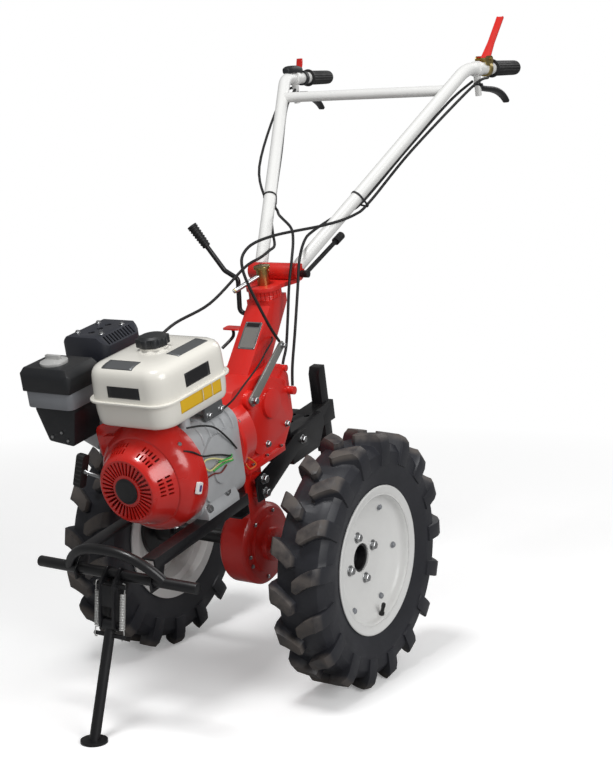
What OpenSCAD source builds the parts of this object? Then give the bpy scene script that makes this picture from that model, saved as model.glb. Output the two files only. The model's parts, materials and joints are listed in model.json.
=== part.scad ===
// Two-wheeled walking tractor, parked nose-down on its front stand.
// Frame: +X forward, +Y to the machine's left, +Z up, z = 0 on the ground.
// The chassis is laid out level from the axle centre and then pitched about the axle.

/* [Stance] */
// Nose-down pitch on the front stand, degrees
park_pitch = 12; // [9:0.5:15]

/* [Wheels] */
// Radius over the lug tips
tyre_r = 296; // [280:1:310]
// Distance between the wheels' mid-planes
track = 586; // [560:2:660]
// Width of the tyre carcass
tyre_w = 126; // [116:1:140]
// Height of a lug above the crown
lug_h = 22; // [14:1:28]
// Lugs on each half of the tread
lug_count = 17; // [13:1:19]
// Wall of the tyre
tyre_wall = 12; // [8:1:16]
// Radius of the rim's flange
rim_r = 174; // [168:1:180]
// Radius of the bead seat
bead_r = 152; // [146:1:156]
// Width over the rim's flanges
rim_w = 106; // [98:1:110]
// Thickness of the rim's sheet
rim_wall = 4; // [3:0.5:6]
// Radius of the hub's flange
hub_r = 74; // [68:1:80]
// Diameter of the axle stubs
axle_d = 36; // [30:1:40]

/* [Gearbox] */
// Radius of the final drive's drum
drum_r = 100; // [92:1:106]
// Width of the final drive's drum
drum_w = 80; // [70:1:90]
// Distance between the outer faces of the axle seals
seal_w = 120; // [112:1:130]
// Height of the gearbox's bottom flange above the axle
box_base_z = 216; // [205:1:225]
// Height of the gearbox
box_h = 206; // [196:1:216]
// Width of the gearbox
box_w = 124; // [116:1:132]
// Engine flange ahead of the axle
pto_x = 130; // [124:1:140]

/* [Steering column] */
// Width of the column
column_w = 66; // [58:1:76]
// Swivel axis behind the axle
swivel_back = 183; // [175:1:190]
// Height of the swivel seat above the axle
swivel_z = 575; // [560:1:590]
// Radius of the toothed swivel rings
swivel_r = 40; // [36:1:44]

/* [Handlebar] */
// Diameter of the handle tubes
handle_d = 32; // [28:1:34]
// Wall of the handle tubes
handle_wall = 2.5; // [2:0.5:4]
// Distance between the grips' ends
grip_span = 590; // [540:5:640]
// Diameter of the grips
grip_d = 40; // [38:1:44]
// Length of the grips
grip_len = 130; // [110:1:140]
// Diameter of the cross tube
cross_d = 27; // [22:1:28]

/* [Frame] */
// Height of the rails' top above the axle
rail_top_z = 199; // [193:1:205]
// Depth of the rails
rail_h = 26; // [22:1:32]
// Distance over the rails' outer faces
rail_span = 210; // [202:1:222]
// Width of the rails' top flange
rail_flange = 34; // [28:1:38]
// Thickness of the rails' steel
rail_wall = 5; // [4:0.5:7]
// Bumper bar ahead of the axle
bumper_x = 499; // [490:1:520]
// Length of the bumper bar
bumper_w = 430; // [410:2:450]
// Diameter of the bumper bar
bumper_d = 24; // [21:1:27]
// Diameter of the bumper hoop
hoop_d = 22; // [18:1:24]

/* [Stand] */
// Drop of the stand's pivot below the bumper bar
stand_drop = 97; // [90:1:105]
// Stand's pivot ahead of the bumper bar
stand_ahead = 44; // [38:1:50]
// Foot ahead of the pivot
foot_ahead = 65; // [50:1:80]
// Diameter of the stand's leg
leg_d = 23; // [20:1:26]
// Diameter of the foot
foot_d = 58; // [50:1:70]

/* [Engine] */
// Height of the crankshaft above the rails
crank_h = 113; // [107:1:119]
// Front face of the recoil starter ahead of the axle
fan_x = 423; // [416:1:430]
// Radius of the blower housing
shroud_r = 126; // [120:1:130]
// Radius of the recoil grille
grille_r = 72; // [66:1:76]
// Radial slots in the grille
grille_slots = 36; // [28:1:40]
// Width of a grille slot
slot_w = 5; // [4:0.5:6]

/* [Tank] */
// Length of the tank
tank_l = 259; // [250:1:264]
// Width of the tank
tank_w = 212; // [204:1:220]
// Height of the tank's seam above the crankshaft
seam_h = 188; // [184:1:194]
// Height of the tank above its seam
tank_top_h = 80; // [74:1:88]
// Depth of the tank below its seam
tank_low_h = 58; // [52:1:60]

/* [Hitch] */
// Width of the hitch bracket
hitch_w = 90; // [84:1:100]
// Diameter of the hitch pin hole
hitch_pin_d = 17; // [14:0.5:19]
// Side of the square depth stake
stake_w = 32; // [28:1:36]

/* [Hidden] */
$fn = 48;
red_paint = [0.80, 0.11, 0.09];
white_paint = [0.93, 0.93, 0.91];
black_paint = [0.07, 0.07, 0.08];
black_rubber = [0.12, 0.12, 0.12];
tyre_rubber = [0.15, 0.15, 0.15];
cast_grey = [0.62, 0.63, 0.64];
bare_steel = [0.72, 0.72, 0.73];
zinc_yellow = [0.78, 0.70, 0.45];

// Clearances
running_gap = 0.3;
seat_gap = 0.2;
stop_gap = 0.5;
cut = 1;

// Ground and axle
axle_z = tyre_r;
grip_back = 1065;
grip_end_z = 959;
pivot_x = bumper_x + stand_ahead;
bumper_z = rail_top_z - rail_h - 20;
pivot_z = bumper_z - stand_drop;
front_reach = ground_x(pivot_x, pivot_z) + foot_ahead + foot_d / 2;
lever_drop = 58;
rear_reach = -ground_x(-grip_back, grip_end_z - lever_drop);
axle_x = (rear_reach - front_reach) / 2;

// Wheels
half_track = track / 2;
crown_r = tyre_r - lug_h;
half_tyre = tyre_w / 2;
half_rim = rim_w / 2;
lug_edge = half_tyre + 5;
lug_pitch = 360 / lug_count;
rim_lip = 4;
well_r = bead_r - 14;
hub_back = 60;
hub_thick = 12;
hub_bore_r = 34;
stub_inner = seal_w / 2 - 18;

// Gearbox and column
box_top_z = box_base_z + box_h;
box_rear_x = -143;
neck_half = 34;
crank_z = rail_top_z + crank_h;
bell_r = 106;
boss_x = 10;
boss_z = [141, 176];
neck_front = 50;
plate_y = 55;
seat_z = swivel_z;
ring_h = 10;
yoke_z = seat_z + 2 * ring_h + running_gap;

// Handlebar, left side, in the level frame
handle_base = [-242, 47, yoke_z + 14];
handle_bend = [-806, 275, 996];
handle_end = [-grip_back, grip_span / 2, grip_end_z];
handle_radius = 70;
cross_share = 0.89;
cross_point = handle_base + (handle_bend - handle_base) * cross_share;

// Engine
block_rear_x = pto_x;
block_front_x = 300;
foot_h = 14;
cylinder_tilt = 24;
block_top_z = crank_z + 96;
head_x = [152, 288];
governor_at = [205, -118, 456];
recoil_depth = 52;
recoil_x = fan_x - recoil_depth;
seam_z = crank_z + seam_h;
tank_x = 138;
tank_y = -97;
cap_x = 265;
cap_y = 5;
cap_r = 37;
cleaner_x = [280, 395];
cleaner_y = [-285, -140];
cleaner_z = seam_z + 6;
cleaner_h = 54;
band_h = 38;
muffler_x = [104, 240];
muffler_y = [-288, -156];
muffler_z = [470, 585];
muffler_low = muffler_z[0] - 8;
guard_wall = 2.5;
guard_slope = 22;

// Hitch
hitch_rear_x = -300;
hitch_top_z = 230;
hitch_h = 82;
hitch_plate = 6;
stake_x = -363;
clamp_wall = 8;

// Level chassis point to its place over the ground
function ground_x(x, z) = x * cos(park_pitch) + z * sin(park_pitch);
function ground_z(x, z) = axle_z - x * sin(park_pitch) + z * cos(park_pitch);

function unit(v) = v / norm(v);
function swap_side(p) = [p.x, -p.y, p.z];

// Outline with each corner replaced by an arc
function corner_arc(a, b, c, r, steps) =
  let (
    u = unit(a - b),
    v = unit(c - b),
    half = acos(max(-1, min(1, u * v))) / 2,
    centre = b + unit(u + v) * r / sin(half),
    first = b + u * r / tan(half) - centre,
    last = b + v * r / tan(half) - centre,
    from = atan2(first.y, first.x),
    turn = (atan2(last.y, last.x) - from + 540) % 360 - 180
  )
  [for (k = [0:steps]) centre + r * [cos(from + turn * k / steps), sin(from + turn * k / steps)]];
function rounded(p, r, steps = 4) =
  [for (i = [0:len(p) - 1])
    each corner_arc(p[(i + len(p) - 1) % len(p)], p[i], p[(i + 1) % len(p)], r, steps)];
function box_outline(x, y) = [[x[0], y[0]], [x[1], y[0]], [x[1], y[1]], [x[0], y[1]]];

// Frames and extrusions
module on_axle() { translate([axle_x, 0, axle_z]) children(); }
module parked() { on_axle() rotate([0, park_pitch, 0]) children(); }
module along_y(y) { translate([0, y[1], 0]) rotate([90, 0, 0]) linear_extrude(y[1] - y[0]) children(); }
module along_x(x) { translate([x[0], 0, 0]) rotate([90, 0, 90]) linear_extrude(x[1] - x[0]) children(); }
module along_z(z) { translate([0, 0, z[0]]) linear_extrude(z[1] - z[0]) children(); }
module turned_on_x() { rotate([0, 90, 0]) rotate_extrude() children(); }
module turned_on_y() { rotate([-90, 0, 0]) rotate_extrude() children(); }
module both_sides() {
  children();
  mirror([0, 1, 0]) children();
}
module pin_y(x, z, d, y) { translate([x, y[0], z]) rotate([-90, 0, 0]) cylinder(d = d, h = y[1] - y[0]); }
module pin_x(x, y, z, d) { translate([x[0], y, z]) rotate([0, 90, 0]) cylinder(d = d, h = x[1] - x[0]); }

// Straight round bar between two points
function side_axis(w, ref) = unit(cross(ref, w));
module in_axes(e1, e2, at) {
  e3 = cross(e1, e2);
  multmatrix([[e1.x, e2.x, e3.x, at.x], [e1.y, e2.y, e3.y, at.y], [e1.z, e2.z, e3.z, at.z], [0, 0, 0, 1]])
    children();
}
module rod(a, b, d) {
  w = unit(b - a);
  e1 = side_axis(w, abs(w.z) < 0.9 ? [0, 0, 1] : [1, 0, 0]);
  in_axes(e1, cross(w, e1), a) cylinder(d = d, h = norm(b - a));
}

// Centre line through corner points, with an arc at each bend
function turn_at(p, i) = acos(max(-1, min(1, unit(p[i] - p[i - 1]) * unit(p[i + 1] - p[i]))));
function bend_arc(p, i, bend, steps) =
  let (
    u = unit(p[i] - p[i - 1]),
    v = unit(p[i + 1] - p[i]),
    inward = unit(v - u * (u * v)),
    turn = turn_at(p, i),
    centre = p[i] - u * bend * tan(turn / 2) + inward * bend
  )
  [for (k = [0:steps]) centre + bend * (sin(turn * k / steps) * u - cos(turn * k / steps) * inward)];
function bend_points(p, bend, steps = 5) =
  [p[0], for (i = [1:1:len(p) - 2]) each bend_arc(p, i, bend, steps), p[len(p) - 1]];

// Smooth centre line through hand-placed points
function curve(a, b, c, d, t) =
  0.5 * (2 * b + (c - a) * t + (2 * a - 5 * b + 4 * c - d) * t ^ 2 + (3 * b - a - 3 * c + d) * t ^ 3);
function curve_points(p, steps) =
  let (n = len(p) - 1)
  [for (i = [0:n - 1], k = [0:steps - (i == n - 1 ? 0 : 1)])
    curve(p[max(i - 1, 0)], p[i], p[i + 1], p[min(i + 2, n)], k / steps)];

// Round section swept along a centre line, hollow where a wall is given
function heading(p, i) = unit(p[min(i + 1, len(p) - 1)] - p[max(i - 1, 0)]);
function ring_points(p, d, sides, ref) =
  [for (i = [0:len(p) - 1], k = [0:sides - 1])
    let (w = heading(p, i), e1 = side_axis(w, ref), e2 = cross(w, e1))
    p[i] + d / 2 * (cos(360 * k / sides) * e1 + sin(360 * k / sides) * e2)];
function ring_walls(rings, sides, first, flip) =
  [for (i = [0:rings - 2], k = [0:sides - 1])
    let (a = first + i * sides + k, b = first + i * sides + (k + 1) % sides)
    flip ? [b, b + sides, a + sides, a] : [a, a + sides, b + sides, b]];
module swept(p, d, wall = 0, sides = 16, ref = [0, 0, 1]) {
  rings = len(p);
  n = rings * sides;
  last = n - sides;
  outer = ring_points(p, d, sides, ref);
  if (wall == 0) {
    ends = [[for (k = [0:sides - 1]) k], [for (k = [sides - 1:-1:0]) last + k]];
    polyhedron(outer, concat(ring_walls(rings, sides, 0, false), ends), convexity = 6);
  } else {
    near = [for (k = [0:sides - 1]) [k, (k + 1) % sides, n + (k + 1) % sides, n + k]];
    far = [for (k = [0:sides - 1])
      [last + (k + 1) % sides, last + k, n + last + k, n + last + (k + 1) % sides]];
    polyhedron(
      concat(outer, ring_points(p, d - 2 * wall, sides, ref)),
      concat(ring_walls(rings, sides, 0, false), ring_walls(rings, sides, n, true), near, far),
      convexity = 10
    );
  }
}
module bent_rod(p, d, bend, ref = [0, 0, 1]) { swept(bend_points(p, bend), d, ref = ref); }
module cable(route) { swept(curve_points(route, cable_steps), cable_d, sides = 8, ref = [0, 1, 0]); }

// Final drive: drum, axle seals and neck
module final_drive() {
  half_drum = drum_w / 2;
  step_y = seal_w / 2 - 13;
  color(red_paint) parked() difference() {
    union() {
      turned_on_y() polygon([
        [0, -half_drum], [drum_r - 10, -half_drum], [drum_r, 10 - half_drum], [drum_r, half_drum - 10],
        [drum_r - 10, half_drum], [0, half_drum]
      ]);
      both_sides() {
        pin_y(0, 0, 140, [0, step_y]);
        pin_y(0, 0, axle_d + 46, [0, seal_w / 2]);
      }
      along_x([-20, neck_front]) polygon(rounded(box_outline([-neck_half, neck_half], [0, box_base_z]), 8));
      for (z = boss_z) pin_y(boss_x, z, 30, [-plate_y, plate_y]);
    }
    both_sides() pin_y(0, 0, axle_d + 2 * running_gap, [stub_inner - 2, seal_w]);
  }
}

// Gearbox casting with its bell to the engine and a raised left cover
module gearbox() {
  half_w = box_w / 2;
  outline = [
    [-85, box_base_z], [81, box_base_z], [pto_x - 12, crank_z - 60], [pto_x - 12, crank_z + 66],
    [84, box_top_z], [-118, box_top_z], [box_rear_x, box_top_z - 36], [box_rear_x, box_base_z + 66]
  ];
  cover = [[-118, 268], [30, 240], [62, 300], [40, 392], [-60, 408], [-118, 380]];
  color(red_paint) parked() {
    along_y([-half_w, half_w]) polygon(rounded(outline, 16));
    along_y([-half_w - 9, half_w + 9]) polygon(rounded(cover, 26));
    along_z([box_base_z, box_base_z + 12])
      polygon(rounded(box_outline([-85, 81], [-half_w - 10, half_w + 10]), 10));
    pin_x([60, pto_x], 0, crank_z, 2 * bell_r - 24);
    pin_x([pto_x - 14, pto_x], 0, crank_z, 2 * bell_r);
    both_sides() pin_y(-40, 350, 70, [0, half_w + 18]);
    pin_y(33, 383, 44, [0, half_w + 12]);
    pin_y(-125, 352, 20, [0, half_w + 26]);
    pin_y(-134, 404, 16, [half_w - 22, half_w + 4]);
  }
}

// Column that carries the handlebar's swivel
module column() {
  half_w = column_w / 2;
  top_back = -swivel_back - swivel_r;
  top_front = -swivel_back + swivel_r - 6;
  outline = [
    [-20, box_top_z], [top_front, swivel_z - 22], [top_front, swivel_z - ring_h],
    [top_back, swivel_z - ring_h], [top_back, swivel_z - 30], [-118, box_top_z]
  ];
  color(red_paint) parked() {
    along_y([-half_w, half_w]) polygon(outline);
    translate([-swivel_back, 0, swivel_z - ring_h]) toothed_ring();
  }
}

// One half of the swivel's tooth coupling
module toothed_ring() {
  teeth = 24;
  difference() {
    cylinder(r = swivel_r, h = ring_h);
    for (k = [0:teeth - 1])
      rotate([0, 0, k * 360 / teeth]) translate([swivel_r, 0, -cut]) cylinder(d = 5, h = ring_h + 2 * cut);
  }
}

// Crankcase, slanted finned cylinder and head, tank posts, governor post and exhaust stub
module engine_block() {
  base_half = rail_span / 2;
  body_half = 98;
  foot_x = [173, 292];
  flare = [
    [-base_half, rail_top_z], [base_half, rail_top_z], [base_half, rail_top_z + foot_h],
    [body_half - 14, rail_top_z + 62], [14 - body_half, rail_top_z + 62], [-base_half, rail_top_z + foot_h]
  ];
  side_cover = [[166, 236], [286, 236], [286, 336], [244, 374], [166, 374]];
  fins = 6;
  fin_gap = 13;
  color(cast_grey) parked() difference() {
    union() {
      along_x(foot_x) polygon(flare);
      along_x([block_rear_x, block_front_x])
        polygon(rounded(box_outline([-body_half, body_half], [rail_top_z, block_top_z]), 40, 8));
      along_y([0, body_half + 7]) polygon(rounded(side_cover, 14));
      pin_y(226, 292, 56, [0, body_half + 13]);
      for (x = [170, 270], y = [-30, 60])
        translate([x, y, block_top_z - 20]) cylinder(d = 26, h = seam_z - tank_low_h - block_top_z + 20);
      translate([governor_at.x, governor_at.y, crank_z]) cylinder(d = 14, h = governor_at.z - crank_z);
      translate([0, 0, crank_z]) rotate([-cylinder_tilt, 0, 0]) {
        along_y([-180, 0]) polygon(rounded(box_outline([160, 280], [-52, 52]), 14));
        for (k = [0:fins - 1])
          along_y([-110 - k * fin_gap, -106 - k * fin_gap])
            polygon(rounded(box_outline(head_x, [-68, 68]), 16));
        along_y([-226, -180]) polygon(rounded(box_outline(head_x, [-60, 60]), 14));
        along_y([-246, -226]) polygon(rounded(box_outline([166, 274], [-44, 44]), 10));
        translate([190, -203, 0]) cylinder(d = 36, h = 110);
      }
    }
    translate([0, -400, muffler_low]) cube([400, 300, 200]);
  }
}

// Blower housing round the flywheel, with its duct to the cylinder
module fan_shroud() {
  duct = [
    [-60, crank_z - 90], [-128, crank_z + 40], [-134, crank_z + 108], [40, crank_z + 126], [112, crank_z + 60]
  ];
  front_duct = [
    [-50, crank_z - 60], [-108, crank_z + 44], [-112, crank_z + 90], [30, crank_z + 106], [92, crank_z + 50]
  ];
  color(red_paint) parked() {
    translate([0, 0, crank_z]) turned_on_x() polygon([
      [0, block_front_x], [shroud_r, block_front_x], [shroud_r, recoil_x - 34], [shroud_r - 6, recoil_x - 18],
      [shroud_r - 22, recoil_x], [0, recoil_x]
    ]);
    along_x([block_front_x, recoil_x - 30]) polygon(rounded(duct, 20));
    along_x([recoil_x - 30, recoil_x - 12]) polygon(rounded(front_duct, 16));
  }
}

// Recoil starter: hollow cone with a slotted face and louvres on its flank
module recoil_cover() {
  base_r = shroud_r - 26;
  wall = 3;
  slot_l = grille_r - 42;
  louvre_leans = [18, -34, -84];
  louvre_w = 4.4;
  color(red_paint) parked() translate([0, 0, crank_z]) difference() {
    turned_on_x() polygon([
      [grille_r - 2, fan_x], [grille_r + 4, fan_x - 5], [base_r - 4, recoil_x + 6], [base_r, recoil_x],
      [base_r - wall - 2, recoil_x], [grille_r - 2, fan_x - wall - 3], [0, fan_x - wall - 3], [0, fan_x]
    ]);
    for (k = [0:grille_slots - 1])
      rotate([k * 360 / grille_slots, 0, 0])
        translate([fan_x - 12, -slot_w / 2, 36]) cube([24, slot_w, slot_l]);
    for (lean = louvre_leans, k = [-2:2], row = [0, 1])
      rotate([lean + k * 6, 0, 0])
        translate([recoil_x + 9 + row * 17, -louvre_w / 2, grille_r - 10]) cube([12, louvre_w, 60]);
  }
}

// Plain centre disc of the starter
module recoil_cap() {
  color(black_paint) parked() translate([0, 0, crank_z])
    turned_on_x() polygon([[0, fan_x], [29, fan_x], [29, fan_x + 2], [26, fan_x + 4], [0, fan_x + 5]]);
}

// Fuel tank: two pressed halves joined at a seam flange
module fuel_tank() {
  flange = 5;
  x = [tank_x, tank_x + tank_l];
  y = [tank_y, tank_y + tank_w];
  top = seam_z + tank_top_h;
  low = seam_z - tank_low_h;
  side = [
    [x[0], low], [x[1] - 14, low], [x[1], low + 12], [x[1], seam_z + 44], [x[1] - 26, top - 14],
    [x[1] - 90, top], [x[0] + 60, top], [x[0], seam_z + 52]
  ];
  front = [
    [y[0] + 30, low], [y[1] - 16, low], [y[1], low + 16], [y[1], seam_z + 42], [y[1] - 22, top - 12],
    [y[1] - 70, top], [y[0] + 70, top], [y[0] + 22, top - 12], [y[0], seam_z + 42], [y[0], seam_z - 16]
  ];
  color(white_paint) parked() {
    intersection() {
      along_z([low, top]) polygon(rounded(box_outline(x, y), 40, 8));
      along_y(y) polygon(rounded(side, 12));
      along_x(x) polygon(rounded(front, 12));
    }
    along_z([seam_z - 2, seam_z + 2])
      polygon(rounded(box_outline([x[0] - flange, x[1] + flange], [y[0] - flange, y[1] + flange]), 45, 8));
  }
}

// Lobed filler cap
module fuel_cap() {
  lobes = 8;
  base = seam_z + tank_top_h;
  color(black_rubber) parked() translate([cap_x, cap_y, base]) {
    cylinder(r = cap_r - 9, h = 10);
    translate([0, 0, 10]) linear_extrude(18) {
      circle(r = cap_r - 5);
      for (k = [0:lobes - 1]) rotate(k * 360 / lobes) translate([cap_r - 9, 0]) circle(r = 9);
    }
    translate([0, 0, 28]) cylinder(r1 = cap_r - 6, r2 = cap_r - 12, h = 4);
  }
}

// Air cleaner: cover, band, elbow down to the head, and wing knob
module air_cleaner_cover() {
  low = cleaner_z;
  color(black_rubber) parked() intersection() {
    along_z([low, low + cleaner_h]) polygon(rounded(box_outline(cleaner_x, cleaner_y), 18));
    along_x(cleaner_x) polygon([
      [cleaner_y[0] + 4, low], [cleaner_y[1] - 4, low], [cleaner_y[1], low + 34],
      [cleaner_y[1] - 12, low + cleaner_h], [cleaner_y[0] + 12, low + cleaner_h], [cleaner_y[0], low + 34]
    ]);
    along_y(cleaner_y) polygon([
      [cleaner_x[0] + 4, low], [cleaner_x[1] - 4, low], [cleaner_x[1], low + 34],
      [cleaner_x[1] - 12, low + cleaner_h], [cleaner_x[0] + 12, low + cleaner_h], [cleaner_x[0], low + 34]
    ]);
  }
}
module air_cleaner_base() {
  x = [cleaner_x[0] + 6, cleaner_x[1] - 6];
  y = [cleaner_y[0] + 6, cleaner_y[1] - 6];
  color(cast_grey) parked() along_z([cleaner_z - band_h, cleaner_z]) polygon(rounded(box_outline(x, y), 16));
}
module intake_elbow() {
  top = cleaner_z - band_h;
  color(black_rubber) parked() {
    along_x([head_x[1], cleaner_x[1] - 18]) polygon(rounded([
      [cleaner_y[0] + 16, top], [cleaner_y[0] + 44, crank_z + 74], [cleaner_y[1] - 30, crank_z + 66],
      [cleaner_y[1] - 10, top]
    ], 8));
  }
}
module air_knob() {
  color(bare_steel) parked() translate([345, -215, cleaner_z + cleaner_h]) {
    cylinder(r = 31, h = 6);
    translate([0, 0, 6]) cylinder(r1 = 27, r2 = 20, h = 4);
    translate([-4, -20, 10]) cube([8, 40, 9]);
  }
}

// Muffler and its slotted heat guard, with sloping upper edges
function guard_section(inset) =
  let (y = [muffler_y[0] + inset, muffler_y[1] - inset], top = muffler_z[1] - inset)
  [
    [y[0], muffler_low], [y[1], muffler_low], [y[1], top - guard_slope], [y[1] - guard_slope, top],
    [y[0] + guard_slope, top], [y[0], top - guard_slope]
  ];
module muffler() {
  inset = guard_wall + 6;
  x = [muffler_x[0] + inset, muffler_x[1] - inset];
  y = [muffler_y[0] + inset, muffler_y[1] - inset];
  color(black_paint) parked() intersection() {
    along_z([muffler_low, muffler_z[1]]) polygon(rounded(box_outline(x, y), 24));
    along_x(x) polygon(guard_section(guard_wall));
  }
}
module muffler_guard() {
  inner_x = [muffler_x[0] + guard_wall, muffler_x[1] - guard_wall];
  inner_y = [muffler_y[0] + guard_wall, muffler_y[1] - guard_wall];
  slots = 10;
  slot_l = guard_slope * sqrt(2) - 8;
  slope_mid = [muffler_y[1] - guard_slope / 2, muffler_z[1] - guard_slope / 2];
  color(black_paint) parked() difference() {
    intersection() {
      along_z(muffler_z) polygon(rounded(box_outline(muffler_x, muffler_y), 22));
      along_x(muffler_x) polygon(guard_section(0));
    }
    intersection() {
      along_z([muffler_z[0] - cut, muffler_z[1]]) polygon(rounded(box_outline(inner_x, inner_y), 20));
      along_x(inner_x) polygon(guard_section(guard_wall));
    }
    for (k = [0:slots - 1])
      translate([muffler_x[0] + 24 + k * 10, slope_mid.x, slope_mid.y]) rotate([-45, 0, 0])
        cube([5, slot_l, 16], center = true);
    for (k = [0:2])
      translate([muffler_x[0] + 38 + k * 30, (muffler_y[0] + muffler_y[1]) / 2, muffler_z[1] - 10])
        cylinder(d = 16, h = 20);
  }
}

// Angle rails with ears for the bumper bar, a cross member and the tongue to the final drive's neck
module frame_rails() {
  outer = rail_span / 2;
  rail_low = rail_top_z - rail_h;
  rear_x = 140;
  cross_low = rail_low - 24;
  cross_top = rail_top_z - rail_wall;
  tongue_half = 30;
  tongue_z = [cross_low + 2, cross_top - 6];
  angle = [
    [outer, rail_top_z], [outer - rail_flange, rail_top_z], [outer - rail_flange, rail_top_z - rail_wall],
    [outer - rail_wall, rail_top_z - rail_wall], [outer - rail_wall, rail_low], [outer, rail_low]
  ];
  ear = [
    [bumper_x - 40, rail_low + 6], [bumper_x - 20, bumper_z - 20], [bumper_x + 17, bumper_z - 20],
    [bumper_x + 17, bumper_z + 6], [bumper_x - 6, rail_low + 6]
  ];
  member = [
    [rear_x, cross_top], [rear_x, cross_low], [rear_x + 34, cross_low], [rear_x + 34, cross_low + rail_wall],
    [rear_x + rail_wall, cross_low + rail_wall], [rear_x + rail_wall, cross_top]
  ];
  color(black_paint) parked() {
    both_sides() difference() {
      union() {
        along_x([rear_x, bumper_x - 8]) polygon(angle);
        along_y([outer - rail_wall, outer]) polygon(ear);
      }
      pin_y(bumper_x, bumper_z, bumper_d + 2 * seat_gap, [0, outer + cut]);
    }
    along_y([-outer + 2, outer - 2]) polygon(member);
    along_x([neck_front, rear_x + 2]) difference() {
      polygon(box_outline([-tongue_half, tongue_half], tongue_z));
      polygon(box_outline(
        [rail_wall - tongue_half, tongue_half - rail_wall], [tongue_z[0] + rail_wall, tongue_z[1] + cut]
      ));
    }
  }
}

// Straight bumper bar and the hoop above it
module bumper_bar() {
  color(black_paint) parked() pin_y(bumper_x, bumper_z, bumper_d, [-bumper_w / 2, bumper_w / 2]);
}
module bumper_hoop() {
  foot_y = 130;
  top_y = 84;
  rise = 69;
  lean = 26;
  arch_r = 130;
  bar_r = bumper_d / 2 + seat_gap;
  path = [
    [bumper_x, -foot_y, bumper_z], [bumper_x + lean, -top_y, bumper_z + rise],
    [bumper_x + lean, top_y, bumper_z + rise], [bumper_x, foot_y, bumper_z]
  ];
  color(black_paint) parked() difference() {
    swept(bend_points(path, arch_r, 8), hoop_d, ref = [1, 0, 0]);
    pin_y(bumper_x, bumper_z, 2 * bar_r, [-bumper_w / 2, bumper_w / 2]);
    translate([bumper_x - 40, -bumper_w / 2, bumper_z - 40]) cube([80, bumper_w, 40]);
  }
}

// Folding stand: bracket, leg with foot, return springs
spring_pin = [pivot_x - 20, pivot_z + 83];
spring_pin_d = 10;
bracket_y = [15, 20];
pivot_d = 14;
ear_drop = 22;
ear_y = 36;
ear_d = 9;
spring_d = 12;
spring_y = 34;
module stand_bracket() {
  bar_r = bumper_d / 2 + seat_gap;
  cheek = [
    [bumper_x - 18, bumper_z + 4], [bumper_x - 18, bumper_z - 16], [pivot_x - 16, pivot_z - 4],
    [pivot_x, pivot_z - 16], [pivot_x + 16, pivot_z], [spring_pin.x + 14, spring_pin.y + 8],
    [bumper_x + 4, bumper_z + 22]
  ];
  web_top = spring_pin + [12, 4];
  web_low = web_top + 0.5 * ([pivot_x + 14, pivot_z] - web_top);
  web = [web_top, web_low, web_low - [5, 0], web_top - [5, 0]];
  color(black_paint) parked() {
    along_y([-bracket_y[0] - 2, bracket_y[0] + 2]) polygon(web);
    both_sides() difference() {
      along_y(bracket_y) polygon(rounded(cheek, 6));
      pin_y(bumper_x, bumper_z, 2 * bar_r, [0, 2 * bracket_y[1]]);
      pin_y(pivot_x, pivot_z, pivot_d + 2 * running_gap, [0, 2 * bracket_y[1]]);
    }
    pin_y(spring_pin.x, spring_pin.y, spring_pin_d, [-spring_y - 10, spring_y + 10]);
  }
}
stand_at = [axle_x + ground_x(pivot_x, pivot_z), 0, ground_z(pivot_x, pivot_z)];
foot_at = [stand_at.x + foot_ahead, 0, 0];
leg_way = unit(foot_at - stand_at);
module stand_leg() {
  foot_h = 6;
  ear = stand_at + leg_way * ear_drop;
  color(black_paint) {
    difference() {
      rod(stand_at, foot_at, leg_d);
      translate([foot_at.x - foot_d, -foot_d, -foot_d]) cube([2 * foot_d, 2 * foot_d, foot_d]);
    }
    translate([stand_at.x, 0, stand_at.z]) {
      rotate([90, 0, 0]) cylinder(d = leg_d + 4, h = 2 * bracket_y[0] - 2, center = true);
      rotate([90, 0, 0]) cylinder(d = pivot_d, h = 2 * bracket_y[1] + 8, center = true);
    }
    translate(ear) rotate([90, 0, 0]) cylinder(d = ear_d, h = 2 * ear_y + 8, center = true);
    translate([foot_at.x, 0, 0]) cylinder(d = foot_d, h = foot_h);
  }
}
module stand_springs() {
  top = [axle_x + ground_x(spring_pin.x, spring_pin.y), spring_y, ground_z(spring_pin.x, spring_pin.y)];
  ear = stand_at + leg_way * ear_drop;
  way = unit([ear.x - top.x, 0, ear.z - top.z]);
  first = top + way * (spring_pin_d / 2 + running_gap);
  last = [ear.x, spring_y, ear.z] - way * (ear_d / 2 + running_gap);
  color(bare_steel) both_sides() rod(first, last, spring_d);
}

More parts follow.
